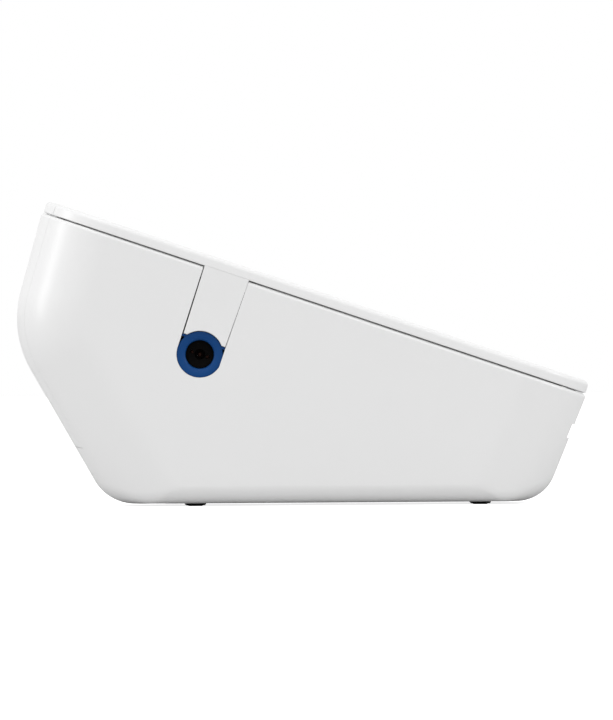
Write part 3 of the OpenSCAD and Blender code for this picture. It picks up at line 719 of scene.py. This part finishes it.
def tongue_outline(front_gap, rear_gap, top, grow=0.0):
    """Side view of the tongue: straight flanks, small shoulders and an arc round the port."""
    r = COLLAR_R + 0.1 - grow
    reach = math.asin((SHOULDER_W - PORT[1]) / r)
    front_top, rear_top = TONGUE_U - TONGUE_TOP_HALF - front_gap, TONGUE_U + TONGUE_TOP_HALF + rear_gap
    front_end, rear_end = TONGUE_U - TONGUE_END_HALF - front_gap, TONGUE_U + TONGUE_END_HALF + rear_gap
    return ([(front_top, top), (front_end, SHOULDER_W)]
            + arc(PORT, r, math.pi - reach, reach, 24)
            + [(rear_end, SHOULDER_W), (rear_top, top)])


def slot_outline(front_gap, rear_gap, top):
    """Side view of the opening in the wall: the tongue's slot and the collar's hole in one."""
    r = COLLAR_R + 0.04
    side_front, side_rear = TONGUE_END_HALF + front_gap, TONGUE_END_HALF + rear_gap
    a_front = math.pi + math.acos(min(side_front / r, 1)) if side_front < r else math.pi
    a_rear = -math.acos(side_rear / r) if side_rear < r else 0.0
    return ([(TONGUE_U - TONGUE_TOP_HALF - front_gap, top), (PORT[0] - side_front, SHOULDER_W),
             (PORT[0] - side_front, PORT[1] + 0.5)]
            + arc(PORT, r, a_front, 2 * math.pi + a_rear, 40)
            + [(PORT[0] + side_rear, PORT[1] + 0.5), (PORT[0] + side_rear, SHOULDER_W),
               (TONGUE_U + TONGUE_TOP_HALF + rear_gap, top)])


def soften_outer_edges(piece, width, keep):
    """Rounds the edges of the outermost side face that the test keeps."""
    level = DECK.inverted()
    with editing(piece.data) as work:
        bmesh.ops.dissolve_limit(work, angle_limit=math.radians(0.6), verts=work.verts, edges=work.edges)
        bevel(work, width, 3, [e for e in work.edges if len(e.link_faces) == 2
                               and e.calc_face_angle(0.0) > math.radians(40)
                               and all(keep(level @ v.co) for v in e.verts)])


def make_tongue():
    """The strap of the plate that runs down the side wall to the port."""
    tongue = outline_solid("tongue", tongue_outline(0, 0, 0.1 - PLATE_T), (-60, -36))
    keep_within(tongue, body_form("tongue_skin", 0.02, 0.0))
    cut(tongue, body_form("tongue_back", WALL, 5.0))
    soften_outer_edges(tongue, 0.2, lambda p: p.x < -41 and p.z < -PLATE_T - 0.2)
    return tongue


# ---- Shells ----

def door_span(name, gap):
    """Wedge across the width that holds the door, wider at the top than at the hinge."""
    slope = (DOOR_HALF_TOP - DOOR_HALF_HINGE) / -HINGE[1]
    return lathe_or_loft(name, [[(side * (DOOR_HALF_TOP + gap + slope * w), u, w)
                                 for side, w in ((-1, -70), (1, -70), (1, 5), (-1, 5))] for u in (0, 90)])


def door_zone(name, gap):
    """The door's share of the back wall, grown by a gap."""
    out, up = heading(WALL_ANGLES[2]), heading(WALL_ANGLES[2] + math.pi / 2)
    zone = outline_solid(name, [tuple(HINGE), tuple(HINGE + 12 * out), tuple(HINGE + 12 * out + 40 * up),
                                (90, 5), (STRIP_U - gap, 5), (STRIP_U - gap, -30)], ACROSS)
    join(zone, round_bar("lip", ACROSS, HINGE, LIP_R + gap, 128))
    keep_within(zone, door_span("span", gap))
    return zone


def oblong_form(name, centre, size, x, grow=0.0, top_r=0.0):
    """An oblong plug along X on a side wall: (u, w) centre, length and height, between two ends."""
    r, reach = size[1] / 2 + grow, (size[0] - size[1]) / 2
    levels = [(0, x[0]), (0, x[1])]
    if top_r:
        levels = [(0, x[0])] + edge_round(top_r, x[1], 6)
    return lathe_or_loft(name, [[(px, u, w) for u, w in oblong_ring(centre, reach, r - d, 20)]
                                for d, px in levels])


def row_oblong(name, y, levels, half_length, width):
    """An oblong pad lying along X under the base, through (inset, level) pairs in the row frame."""
    return lathe_or_loft(name, [[(px, py, z) for px, py in
                                 oblong_ring((0, y), half_length - width / 2, width / 2 - d, 16)]
                                for d, z in levels], ROW)


def upright_bar(name, at, r, z, steps=40, flare=0.0):
    """Round bar along Z in the row frame. A flare widens its lower end."""
    levels = [(r + flare, z[0]), (r, z[0] + flare), (r, z[1])] if flare else [(r, z[0]), (r, z[1])]
    return lathe_or_loft(name, [[(*on_circle(at, ring_r, a), level) for a in turn_angles(steps)]
                                for ring_r, level in levels], ROW)


def make_housing():
    """Lower shell with its openings."""
    shell = body_form("housing_shell", 0, RIM_TOP, RIM_R)
    cut(shell, body_form("cavity", WALL, 5.0))
    inside = body_form("inside", 0.1, RIM_W)
    for at in SCREWS:
        boss = upright_bar("boss", at, 4.2, (0.2, 7))
        keep_within(boss, inside, keep_tool=True)
        join(shell, boss)
    for side in (-1, 1):
        boss = round_bar("hinge_boss", sorted((side * 31.4, side * 33.5)), HINGE, 2.6)
        join(boss, block("hinge_root", sorted((side * 32.2, side * 37.5)), about(HINGE[0], 3.2),
                         about(HINGE[1], 3.2)))
        keep_within(boss, inside, keep_tool=True)
        join(shell, boss)
    bpy.data.objects.remove(inside)
    rail = plate_form("rail", RIM_W - 2.4)
    keep_within(rail, block("rail_side", (SLOT_OUTER_X, 60), ALONG, (-8, 5)))
    keep_within(rail, body_form("rail_wall", 0, 0.0))
    join(shell, rail)
    liner_x, liner_w = SLOT_INNER_X - LINER, -STRIPE_DEPTH - LINER
    cut(shell,
        outline_solid("tongue_slot", slot_outline(TONGUE_FRONT_GAP, TONGUE_REAR_GAP, 5), (-60, -37.5)),
        block("stripe_slot", (SLOT_INNER_X, SLOT_OUTER_X), ALONG, (-STRIPE_DEPTH, 5)),
        block("liner_wall", (liner_x, SLOT_INNER_X + 0.01), ALONG, (liner_w, 5)),
        block("liner_floor", (liner_x, SLOT_OUTER_X + 0.35), ALONG, (liner_w, 0.01 - STRIPE_DEPTH)),
        block("chip_mouth", about(0, CHIP_SLOT_HALF + 1.6), (-90, -60), wide(CHIP_SLOT_W, 1.2)),
        oblong_form("button_hole", BUTTON_AT, BUTTON_SIZE, (35, 60), 0.15),
        door_zone("door_hole", DOOR_GAP),
        round_bar("pin_hole", about(0, 33.05), HINGE, 0.91))
    cut_base(shell)
    return finish_piece(shell, "white_shell", "root", "housing")


SCREW_LEDGE = 3.3
SPEAKER_Y = 2.0
SPEAKER_PITCH = 2.4


def cut_base(shell):
    """Holes in the underside: screws with a soft lead-in, foot pockets, label pocket and speaker."""
    for at in SCREWS:
        cut(shell, upright_bar("screw_well", at, 3.0, (FOOT_HEIGHT - 0.001, SCREW_LEDGE), flare=0.35),
            upright_bar("screw_hole", at, 1.35, (-1, 20)))
    for y in FEET.values():
        cut(shell, row_oblong("foot_pocket", y, [(0, -1), (0, FOOT_HEIGHT + 0.9)], FOOT_HALF + 0.05,
                              FOOT_WIDTH + 0.1))
    label = lathe_or_loft("label_pocket", [
        [(x, u + LABEL[2], z) for x, u, _ in plan_loop(LABEL[0] / 2 + 0.2, LABEL[1] / 2 + 0.2, 1.6, 0)]
        for z in (0, FOOT_HEIGHT + 0.3)], ROW)
    cut(shell, label)
    for i in range(-3, 4):
        for j in range(-1, 2):
            cut(shell, upright_bar("speaker_hole", (i * SPEAKER_PITCH, SPEAKER_Y + j * SPEAKER_PITCH),
                                   0.6, (-1, 5), 14))


def make_top_cover():
    """White plate with the tongue."""
    cover = plate_frame("top_cover_plate")
    skirt = lathe_or_loft("skirt", [plate_loop(d, w) for d, w in
                                    ((2.5, -6), (2.5, -3.05), (3.7, -3.05), (3.7, -6))], closed=True)
    cut(skirt, block("skirt_side", (35.3, 60), ALONG, (-9, 0)),
        block("skirt_rear", (-35.5, 35.5), (52, 90), (-9, 0)),
        slab_form("skirt_glass", half(GLASS_X) + 0.2, half(GLASS_U) + 0.2, GLASS_R + 0.2, GLASS_CENTRE,
                  [(0, -9), (0, 5)]))
    join(cover, skirt)
    cut(cover, block("stripe_side", (SLOT_INNER_X, 90), ALONG, DEEP),
        block("door_notch", about(0, DOOR_HALF_TOP + DOOR_GAP), (EXIT_U, 90), DEEP),
        block("tear_pocket", (-32.5, 32.5), (EXIT_U - 0.6, 90), (-2.2, -0.5)))
    join(cover, make_tongue())
    return finish_piece(cover, "white_shell", "root", "top_cover")


EAR_LEFT = (-33.0, -31.8)
EAR_RIGHT = (29.4, 30.9)


def make_paper_door():
    """Rear door: back wall, strip of the plate, hinge barrel and the two ears of the platen."""
    door = body_form("door_shell", 0, RIM_TOP, RIM_R)
    cut(door, body_form("door_cavity", WALL, 5.0))
    keep_within(door, door_zone("door_zone", 0))
    strip = plate_form("door_strip", -PLATE_T)
    inner = slab_form("door_root", HALF_WIDTH - 1, HALF_LENGTH - 1, CORNER_R - 1, (0, 0),
                      [(0, -PLATE_T - 2.2), (0, 0.1 - PLATE_T)])
    join(strip, inner)
    keep_within(strip, block("strip_zone", ACROSS, (STRIP_U, 90), DEEP))
    keep_within(strip, door_span("strip_span", 0))
    join(door, strip)
    barrel = round_bar("barrel", about(0, DOOR_HALF_HINGE), HINGE, BARREL_R)
    keep_within(barrel, body_form("barrel_limit", 0.02, RIM_W))
    join(door, barrel)
    cut(door, round_bar("gear_room", wide(GEAR_X, 0.3), PLATEN, 4))
    for ends in (EAR_LEFT, EAR_RIGHT):
        ear = round_bar("ear", ends, PLATEN, 3.1)
        join(ear, block("ear_arm", ends, (PLATEN[0], 68.4), about(PLATEN[1], 3.1)))
        join(door, ear)
        cut(door, round_bar("bush_seat", wide(ends, 0.1), PLATEN, 1.91))
    cut(door, round_bar("pin_bore", ACROSS, HINGE, HINGE_PIN_R),
        ball("finger_scoop", 14, (0, HALF_LENGTH - 1.4 + 14, -20), 64, 40))
    return finish_piece(door, "white_shell", "door", "paper_door")


# ---- Geometry Nodes: trees that are grown once and turned into plain meshes ----

class Growth:
    """A Geometry Nodes tree with named sizes."""

    def __init__(self, name, **sizes):
        self.name = name
        self.sizes = sizes
        self.group = bpy.data.node_groups.new(name, "GeometryNodeTree")
        face = self.group.interface
        face.new_socket("Places", in_out="INPUT", socket_type="NodeSocketGeometry")
        kinds = {int: "NodeSocketInt", float: "NodeSocketFloat"}
        self.ids = {label: face.new_socket(label, in_out="INPUT", socket_type=kinds[type(value)]).identifier
                    for label, value in sizes.items()}
        face.new_socket("Mesh", in_out="OUTPUT", socket_type="NodeSocketGeometry")
        self.entry = self.group.nodes.new("NodeGroupInput")
        self.exit = self.group.nodes.new("NodeGroupOutput")

    def __getitem__(self, label):
        return self.entry.outputs[label]

    def node(self, kind, settings=None, values=None, out=0):
        """Adds a node: settings first, then the values or links of its sockets."""
        made = self.group.nodes.new(kind)
        for key, value in (settings or {}).items():
            setattr(made, key, value)
        for key, value in (values or {}).items():
            for each in (value if isinstance(value, list) else [value]):
                if isinstance(each, bpy.types.NodeSocket):
                    self.group.links.new(each, made.inputs[key])
                else:
                    made.inputs[key].default_value = each
        return made.outputs[out]

    def maths(self, operation, a, b):
        return self.node("ShaderNodeMath", {"operation": operation}, {0: a, 1: b})

    def times(self, a, b):
        return self.maths("MULTIPLY", a, b)

    def plus(self, a, b):
        return self.maths("ADD", a, b)

    def over(self, a, b):
        return self.maths("DIVIDE", a, b)

    def vector(self, x=0.0, y=0.0, z=0.0):
        return self.node("ShaderNodeCombineXYZ", {}, {"X": x, "Y": y, "Z": z})

    def cylinder(self, vertices, radius, depth):
        return self.node("GeometryNodeMeshCylinder", {"fill_type": "NGON"}, {
            "Vertices": vertices, "Radius": radius, "Depth": depth})

    def raised(self, geometry, z):
        return self.node("GeometryNodeTransform", {}, {"Geometry": geometry, "Translation": self.vector(z=z)})

    def coil(self, turns, r, height, steps, wire_r, wire_sides):
        """Wire wound round Z, with closed ends."""
        path = self.node("GeometryNodeCurveSpiral", {}, {
            "Resolution": steps, "Rotations": turns, "Start Radius": r, "End Radius": r, "Height": height})
        wire = self.node("GeometryNodeCurvePrimitiveCircle", {"mode": "RADIUS"}, {
            "Resolution": wire_sides, "Radius": wire_r})
        return self.node("GeometryNodeCurveToMesh", {}, {
            "Curve": path, "Profile Curve": wire, "Fill Caps": True})

    def row(self, count, pitch, start):
        """Points along X from a start."""
        return self.node("GeometryNodeMeshLine", {"mode": "OFFSET"}, {
            "Count": count, "Offset": self.vector(pitch), "Start Location": start})

    def joined(self, *parts):
        return self.node("GeometryNodeJoinGeometry", {}, {"Geometry": list(parts)})

    def put(self, points, instance, **more):
        return self.node("GeometryNodeInstanceOnPoints", {}, {
            "Points": points, "Instance": instance, **more})

    def grow(self, piece, finish, points, place, **more):
        """Puts the piece on its points, realizes it and returns one plain mesh object."""
        solid_mesh = self.node("GeometryNodeRealizeInstances", {}, {
            "Geometry": self.put(self["Places"], piece, **more)})
        painted = self.node("GeometryNodeSetMaterial", {}, {"Geometry": solid_mesh, "Material": finish})
        self.group.links.new(painted, self.exit.inputs[0])
        seeds = bpy.data.meshes.new(self.name)
        seeds.from_pydata([tuple(p) for p in points], [], [])
        host = add_object(self.name, seeds)
        step = host.modifiers.new("growth", "NODES")
        step.node_group = self.group
        for label, value in self.sizes.items():
            step[self.ids[label]] = value
        bake_modifiers(host)
        host.data.transform(place)
        with editing(host.data) as work:
            bmesh.ops.recalc_face_normals(work, faces=work.faces)
        return host


def make_screws():
    """Case screws: pan heads with a hexagon socket and a threaded shank, one at each boss."""
    g = Growth("case_screws", Head_Radius=2.8, Head_Height=1.6, Shank_Radius=1.18, Shank_Length=10.5,
               Thread_Pitch=0.5, Socket_Radius=1.2)
    head = g.raised(g.cylinder(48, g["Head_Radius"], g["Head_Height"]), g.times(g["Head_Height"], 0.5))
    drilled = g.node("GeometryNodeMeshBoolean", {"operation": "DIFFERENCE", "solver": "EXACT"}, {
        "Mesh 1": head, "Mesh 2": g.cylinder(6, g["Socket_Radius"], 1.6)})
    middle_z = g.plus(g["Head_Height"], g.times(g["Shank_Length"], 0.5))
    shank = g.raised(g.cylinder(32, g.times(g["Shank_Radius"], 0.86), g["Shank_Length"]),
                     g.plus(middle_z, -0.05))
    threaded = g.times(g["Shank_Length"], 0.94)
    thread = g.coil(g.over(threaded, g["Thread_Pitch"]), g.times(g["Shank_Radius"], 0.88), threaded, 14,
                    g.times(g["Shank_Radius"], 0.115), 4)
    thread = g.raised(thread, g.plus(g["Head_Height"], 0.1))
    screws = g.grow(g.joined(drilled, shank, thread), FINISHES["steel"],
                    [(x, y, SCREW_LEDGE - 1.6) for x, y in SCREWS], ROW)
    finish_piece(screws, "steel", "root", "case_screws")


def make_springs():
    """Helical springs behind the print head, between the frame's back plate and the heatsink."""
    g = Growth("head_springs", Coil_Radius=1.8, Wire_Radius=0.3, Length=3.0, Turns=4.0)
    spring = g.coil(g["Turns"], g["Coil_Radius"], g["Length"], 28, g["Wire_Radius"], 12)
    springs = g.grow(spring, FINISHES["steel"], [(x, 54.3, -12) for x in (-6, 8, 22)], DECK,
                     Rotation=(-QUARTER, 0.0, 0.0))
    finish_piece(springs, "steel", "root", "head_springs")
    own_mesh(springs)


def make_tear_bar():
    """Steel strip with ground teeth along the paper exit."""
    g = Growth("tear_bar", Width=65.0, Thickness=1.7, Depth=0.42, Tooth=0.43, Teeth=28)
    strip = g.node("GeometryNodeMeshCube", {}, {"Size": g.vector(g["Width"], g["Depth"], g["Thickness"])})
    wedge = g.node("GeometryNodeMeshCone", {"fill_type": "NGON"}, {
        "Vertices": 4, "Radius Top": 0.0, "Radius Bottom": 1.0, "Depth": 1.0})
    pitch = g.over(g["Width"], g["Teeth"])
    start = g.vector(g.times(g.plus(g["Width"], g.times(pitch, -1.0)), -0.5),
                     g.plus(g.times(g["Depth"], 0.5), -0.01))
    teeth = g.put(g.row(g["Teeth"], pitch, start), wedge, Rotation=(-QUARTER, 0.0, 0.0),
                  Scale=g.vector(g.times(pitch, 0.49), g.times(g["Thickness"], 0.49), g["Tooth"]))
    bar = g.grow(g.joined(strip, teeth), FINISHES["steel"], [(0, EXIT_U - 0.6 + 0.21, -1.35)], DECK)
    finish_piece(bar, "steel", "root", "tear_bar")


def make_foot_strip(name):
    """Rubber strip with a domed pad and fine grip ribs across it."""
    y = FEET[name]
    pad = row_oblong(name + "_pad", y, [(0.9, 0.16), (0.35, 0.22), (0.08, 0.45), (0, 0.8),
                                        (0, FOOT_HEIGHT + 0.85)], FOOT_HALF, FOOT_WIDTH)
    g = Growth(name, Rib_Length=3.4, Rib_Radius=0.24, Pitch=1.0, Ribs=59)
    rib = g.cylinder(10, g["Rib_Radius"], g["Rib_Length"])
    start = g.vector(g.times(g.times(g["Pitch"], g.plus(g["Ribs"], -1.0)), -0.5))
    ribs = g.put(g.row(g["Ribs"], g["Pitch"], start), rib, Rotation=(QUARTER, 0.0, 0.0))
    grip = g.grow(ribs, FINISHES["black_rubber"], [(0, y, 0.245)], ROW)
    strip = merge(name + "_strip", [pad, grip])
    finish_piece(strip, "black_rubber", "root", name)


def merge(name, objects):
    """Joins meshes, each already in place, into one object."""
    work = bmesh.new()
    for each in objects:
        work.from_mesh(each.data)
        bpy.data.objects.remove(each)
    mesh = bpy.data.meshes.new(name)
    work.to_mesh(mesh)
    work.free()
    return add_object(name, mesh)


# ---- Detailed pieces ----

def make_glass():
    """Touch glass with a ground edge, flush with the plate."""
    glass = slab_form("touch_panel", half(GLASS_X), half(GLASS_U), GLASS_R, GLASS_CENTRE,
                      [(0.15, -1.0), (0, -0.85)] + edge_round(0.14, 0, 4))
    finish_piece(glass, "touch_glass", "root", "glass_panel")


def make_port():
    """Blue collar, black socket and gold contacts of the power port, the socket and contacts coloured darker
    than their plastic and brass as painted shade in the bore.
    """
    face, back = COLLAR_FACE_X, COLLAR_BACK_X
    collar = turned("power_collar", [(face + 0.14, COLLAR_R), (face + 0.04, COLLAR_R - 0.05),
                                     (face, COLLAR_R - 0.14), (face + 0.12, PORT_BORE_R + 1.1),
                                     (face + 0.25, PORT_BORE_R + 0.5), (face + 0.55, PORT_BORE_R + 0.16),
                                     (back, PORT_BORE_R), (back, 4.72), (-38, 4.72), (-38, COLLAR_R)],
                    PORT, 128)
    key = block("collar_key", (face + 0.05, back), (
        PORT[0] - TONGUE_END_HALF - 0.08, PORT[0] + TONGUE_END_HALF + 0.3), (PORT[1] + 3, SHOULDER_W - 0.12))
    cut(key, round_bar("key_hole", (-60, -30), PORT, COLLAR_R - 0.3, 96))
    join(collar, key)
    finish_piece(collar, "port_blue", "root", "port_collar")
    end = face + 7.9
    socket = turned("power_socket", [(back, PORT_BORE_R), (back, 4.7), (end + 1.6, 4.7), (end + 1.6, 0.7),
                                     (end, 0.7), (end - 0.25, 1.1), (end, 1.3), (end, 2.9),
                                     (end - 0.35, PORT_BORE_R)], PORT)
    base = block("socket_base", (end - 1, end + 1.6), about(PORT[0], 5), about(PORT[1], 5))
    cut(base, round_bar("base_hole", (-60, -20), PORT, 4.6, 96))
    join(socket, base)
    for side in (-1, 1):
        cut(socket, round_bar("contact_hole", (-60, -20), (PORT[0] + 2 * side, PORT[1]), 0.5, 32))
    # The socket is given a darker black than its black plastic: painted shade in the bore.
    finish_piece(socket, "black_plastic", "root", "port_socket", finish="port_black")
    pins = [domed_pin("pin", (PORT[0] + du, PORT[1]), r, (end, end + 3)) for du, r in
            ((0, 0.6), (-2, 0.48), (2, 0.48))]
    # The contacts get a dark brown metal in place of brass: painted shade deep in the bore.
    finish_piece(merge("power_contacts", pins), "brass", "root", "port_contacts", finish="contact")


def domed_pin(name, at, r, x):
    """Round pin along X whose first end is domed."""
    rings = [(x[0] + r * 0.4 * (1 - math.sin(a)), r * math.cos(a)) for a in
             [QUARTER * (1 - i / 6) * 0.96 for i in range(7)]] + [(x[1], r)]
    return lathe_or_loft(name, [[(px, *on_circle(at, ring_r, a)) for a in turn_angles(24)]
                                for px, ring_r in rings])


def make_bezel():
    """Black mouth of the chip card slot, with a funnel that guides the card in."""
    mouth = block("card_mouth", about(0, CHIP_SLOT_HALF + 1.5), (-90, -64.6), wide(CHIP_SLOT_W, 1.1))
    keep_within(mouth, body_form("mouth_skin", 0.55, RIM_W))
    cut(mouth, block("card_gap", about(0, CHIP_SLOT_HALF), (-90, -60), CHIP_SLOT_W))
    low, high = CHIP_SLOT_W
    funnel = lathe_or_loft("funnel", [
        [(x * (CHIP_SLOT_HALF + grow), u, w) for x, w in
         ((-1, low - grow), (1, low - grow), (1, high + grow), (-1, high + grow))]
        for u, grow in ((-74, 1.6), (-69.6, 0.0))])
    cut(mouth, funnel)
    finish_piece(mouth, "black_plastic", "root", "card_slot_bezel")


def make_button():
    """Oblong button with a rounded face, a shallow thumb dish and its flange."""
    button = oblong_form("push_button", BUTTON_AT, BUTTON_SIZE, (38, 42.4), top_r=0.7)
    join(button, oblong_form("flange", BUTTON_AT, (BUTTON_SIZE[0] + 2, BUTTON_SIZE[1] + 2), (38, 39)))
    join(button, round_bar("stem", (37, 38.2), BUTTON_AT, 1.0, 40))
    cut(button, ball("dish", 9, (42.15 + 9, *BUTTON_AT), 96, 64))
    finish_piece(button, "grey_plastic", "button", "power_button")


PAPER_HALF = 28.5
ROLLER_R = 3.48


def mirrored(profile):
    """A profile of (x, radius) points carried on to the other side of X = 0."""
    return profile + [(-x, r) for x, r in profile[::-1]]


def make_roll():
    """Roll of receipt paper on its wound core."""
    w = PAPER_HALF
    profile = mirrored([(-w, 8.02), (-w, 19.2), (-w + 0.12, 19.42), (-w + 0.35, ROLL_R)])
    finish_piece(turned("receipt_roll", profile, ROLL, 160), "paper", "roll", "paper_roll")
    core = [(-w, 6.6), (-w + 0.1, 6.5), (w - 0.1, 6.5), (w, 6.6), (w, 7.9), (w - 0.1, 8.0), (-w + 0.1, 8.0),
            (-w, 7.9)]
    finish_piece(turned("roll_core", core, ROLL), "cardboard", "roll", "paper_core")


def make_roller():
    """Rubber roller with rounded ends."""
    profile = mirrored([(-PAPER_HALF, 1.52), (-PAPER_HALF, 3.0), (-28.35, 3.35), (-28.0, ROLLER_R)])
    finish_piece(turned("drive_roller", profile, PLATEN), "black_rubber", "platen", "platen_roller")


def make_motor():
    """Small can motor with rolled end caps and a wiring tab."""
    profile = [(-28, 0.82), (-28, 2.2), (-28, 5.5), (-27.6, 5.95), (-26.3, 5.95), (-26.15, 5.8),
               (-25.9, 6), (-16, 6), (-15.8, 5.8), (-15.6, 5.95), (-14.4, 5.95), (-14, 5.6), (-14, 0.3),
               (-24.1, 0.3), (-24.1, 0.82)]
    can = turned("drive_motor", profile, MOTOR, 72)
    tab = block("wiring_tab", (-28.6, -27.9), about(MOTOR[0], 2.5), (-23, MOTOR[1]))
    cut(tab, round_bar("tab_hole", (-30, -20), MOTOR, 2.2, 48))
    join(can, tab)
    finish_piece(can, "steel", "root", "stepper_motor")


def make_battery():
    """Lithium pack in heat-shrink wrap with soft edges."""
    levels = [(1.6 - 1.6 * math.sin(QUARTER * i / 6), 3.0 + 1.6 * (1 - math.cos(QUARTER * i / 6)))
              for i in range(7)]
    levels += [(d, 19.0 - z) for d, z in levels[::-1]]
    pack = lathe_or_loft("battery", [[(x, u - 24, z) for x, u, _ in plan_loop(27.5 - d, 20 - d, 3.6 - d, 0)]
                                     for d, z in levels], ROW)
    finish_piece(pack, "battery_wrap", "root", "battery_pack")


# ---- Gears ----

MODULE = 0.5
PRESSURE = math.radians(20)


def involute(angle):
    return math.tan(angle) - angle


def gear_outline(teeth, turn):
    """Involute outline of a gear as (radius, angle) points."""
    pitch_r = teeth * MODULE / 2
    base_r, root_r, tip_r = pitch_r * math.cos(PRESSURE), pitch_r - 0.6, pitch_r + 0.44
    half_tooth = math.pi / 2 / teeth - math.radians(2.6) / pitch_r
    flank = []
    for i in range(7):
        r = root_r + (tip_r - root_r) * i / 6
        rise = involute(math.acos(min(base_r / r, 1.0)))
        flank.append((r, max(half_tooth + involute(PRESSURE) - rise, 0.02 / r)))
    outline = []
    for k in range(teeth):
        a = turn + 2 * math.pi * k / teeth
        root_end = flank[0][1] + 0.35 * (math.pi / teeth - flank[0][1])
        outline += [(root_r, a - root_end)] + [(r, a - half) for r, half in flank]
        outline += [(r, a + half) for r, half in flank[::-1]] + [(root_r, a + root_end)]
    return outline


def make_gear(name, at, teeth, bore, turn, slot, body, node):
    """Spur gear with chamfered tooth ends and a dished web."""
    outline = gear_outline(teeth, turn)
    x0, x1 = GEAR_X
    pitch_r = teeth * MODULE / 2

    def ring(x, shrink):
        return [(x, *on_circle(at, r - shrink * (r > pitch_r), a)) for r, a in outline]

    def circle(x, r):
        return [(x, *on_circle(at, r, a)) for _, a in outline]

    rim, hub = pitch_r - 1.15, bore + 0.7
    loops = [ring(x0, 0.12), ring(x0 + 0.14, 0), ring(x1 - 0.14, 0), ring(x1, 0.12)]
    if rim - hub > 0.6:
        loops += [circle(x1, rim), circle(x1 - 0.4, rim - 0.1), circle(x1 - 0.4, hub + 0.1), circle(x1, hub)]
        loops += [circle(x1, bore), circle(x0, bore), circle(x0, hub), circle(x0 + 0.4, hub + 0.1),
                  circle(x0 + 0.4, rim - 0.1), circle(x0, rim)]
    else:
        loops += [circle(x1, bore + 0.12), circle(x1 - 0.12, bore), circle(x0 + 0.12, bore),
                  circle(x0, bore + 0.12)]
    gear = lathe_or_loft(name, loops, closed=True)
    finish_piece(gear, slot, body, node, soft_angle=28)


def line_angle(start, end):
    return math.atan2(end[1] - start[1], end[0] - start[0])


def make_gears():
    """Gear train from the motor to the roller, in mesh at rest."""
    to_idler, to_platen, to_motor = (line_angle(PLATEN, IDLER), line_angle(IDLER, PLATEN),
                                     line_angle(IDLER, MOTOR))
    make_gear("roller_gear", PLATEN, 12, 1.5, to_idler + math.pi / 12, "ivory_plastic", "platen", "platen_gear")
    make_gear("idle_wheel", IDLER, 24, 1.05, to_platen, "ivory_plastic", "idler", "idler_gear")
    pitch = math.pi / 12
    lag = (to_motor - to_platen) / pitch
    off = (lag - round(lag)) * pitch
    make_gear("motor_gear", MOTOR, 10, 0.75, to_motor + math.pi + math.pi / 10 + off * 2.4, "brass",
              "pinion", "motor_pinion")


# ---- Carried-over CAD nodes ----

def paint_cad_nodes():
    """Gives every CAD node that is still shown the finish of its material slot."""
    for part in frame["record"]["subparts"]:
        node = frame["nodes"].get(part["node"])
        if node is None:
            continue
        if not node.material_slots:
            node.data.materials.append(FINISHES[part["material_slot"]])
        for place in node.material_slots:
            place.material = FINISHES[part["material_slot"]]


# ---- Floor and light ----

FLOOR_REACH = 14.0
FLOOR_LIFT = 0.8
SURROUND = 0.835


def make_floor():
    """Pale matt floor that the terminal stands on, brighter to the camera than in its own light."""
    s = Shader("pale_floor", Roughness=0.85, Specular_IOR_Level=0.1)
    colour = s.mix(s.noise(3, 2), rgb(0.60, 0.60, 0.60), rgb(0.62, 0.62, 0.62))
    s.give(Base_Color=colour)
    lifted = s.node("ShaderNodeBsdfPrincipled", {}, {
        "Base Color": colour, "Roughness": 0.85, "Specular IOR Level": 0.1,
        "Emission Color": rgb(1, 1, 1), "Emission Strength": FLOOR_LIFT})
    seen = s.node("ShaderNodeMixShader", {}, {
        0: s.node("ShaderNodeLightPath", out="Is Camera Ray"), 1: Sum(s, s.surface.outputs[0]), 2: lifted})
    s.tree.links.new(seen.socket, s.tree.nodes["Material Output"].inputs["Surface"])
    mesh = bpy.data.meshes.new("floor")
    mesh.from_pydata([(x * FLOOR_REACH, y * FLOOR_REACH, 0) for x, y in ((-1, -1), (1, -1), (1, 1), (-1, 1))],
                     [], [(0, 1, 2, 3)])
    mesh.materials.append(s.material)
    add_object("floor", mesh)


def area_light(name, place, size, power):
    """Soft white rectangular light that faces the terminal."""
    lamp = bpy.data.lights.new(name, "AREA")
    lamp.shape = "RECTANGLE"
    lamp.size, lamp.size_y = size
    lamp.energy = power
    direction = Vector((0, 0, 0.04)) - Vector(place)
    add_object(name, lamp).matrix_world = (Matrix.Translation(place)
                                           @ direction.to_track_quat("-Z", "Y").to_matrix().to_4x4())


def make_light():
    """White studio: an even surround, a tall strip light behind, and weak lights in front and above."""
    world = bpy.data.worlds.new("white_surround")
    world.use_nodes = True
    tree = world.node_tree
    surround = tree.nodes["Background"]
    surround.inputs["Color"].default_value = rgb(1, 1, 1)
    seen = tree.nodes.new("ShaderNodeLightPath")
    level = tree.nodes.new("ShaderNodeMapRange")
    level.inputs["To Min"].default_value = SURROUND
    level.inputs["To Max"].default_value = 1.0
    tree.links.new(seen.outputs["Is Camera Ray"], level.inputs["Value"])
    tree.links.new(level.outputs["Result"], surround.inputs["Strength"])
    bpy.context.scene.world = world
    bpy.context.scene.view_settings.view_transform = "Standard"
    area_light("strip_light", (-0.25, 1.7, 0.55), (0.42, 1.5), 9.5)
    area_light("front_light", (-0.5, -1.7, 0.7), (0.7, 0.9), 7.5)
    area_light("top_light", (-0.5, 0.1, 1.7), (1.0, 1.0), 5.5)
    area_light("high_strip", (-1.6, 0.0, 0.95), (2.4, 0.24), 3.6)


for make_piece in (make_housing, make_top_cover, make_paper_door, make_glass, make_port, make_bezel,
                   make_button, make_roll, make_roller, make_motor, make_battery, make_gears,
                   make_screws, make_springs, make_tear_bar):
    make_piece()
for strip_name in FEET:
    make_foot_strip(strip_name)
paint_cad_nodes()
make_floor()
make_light()
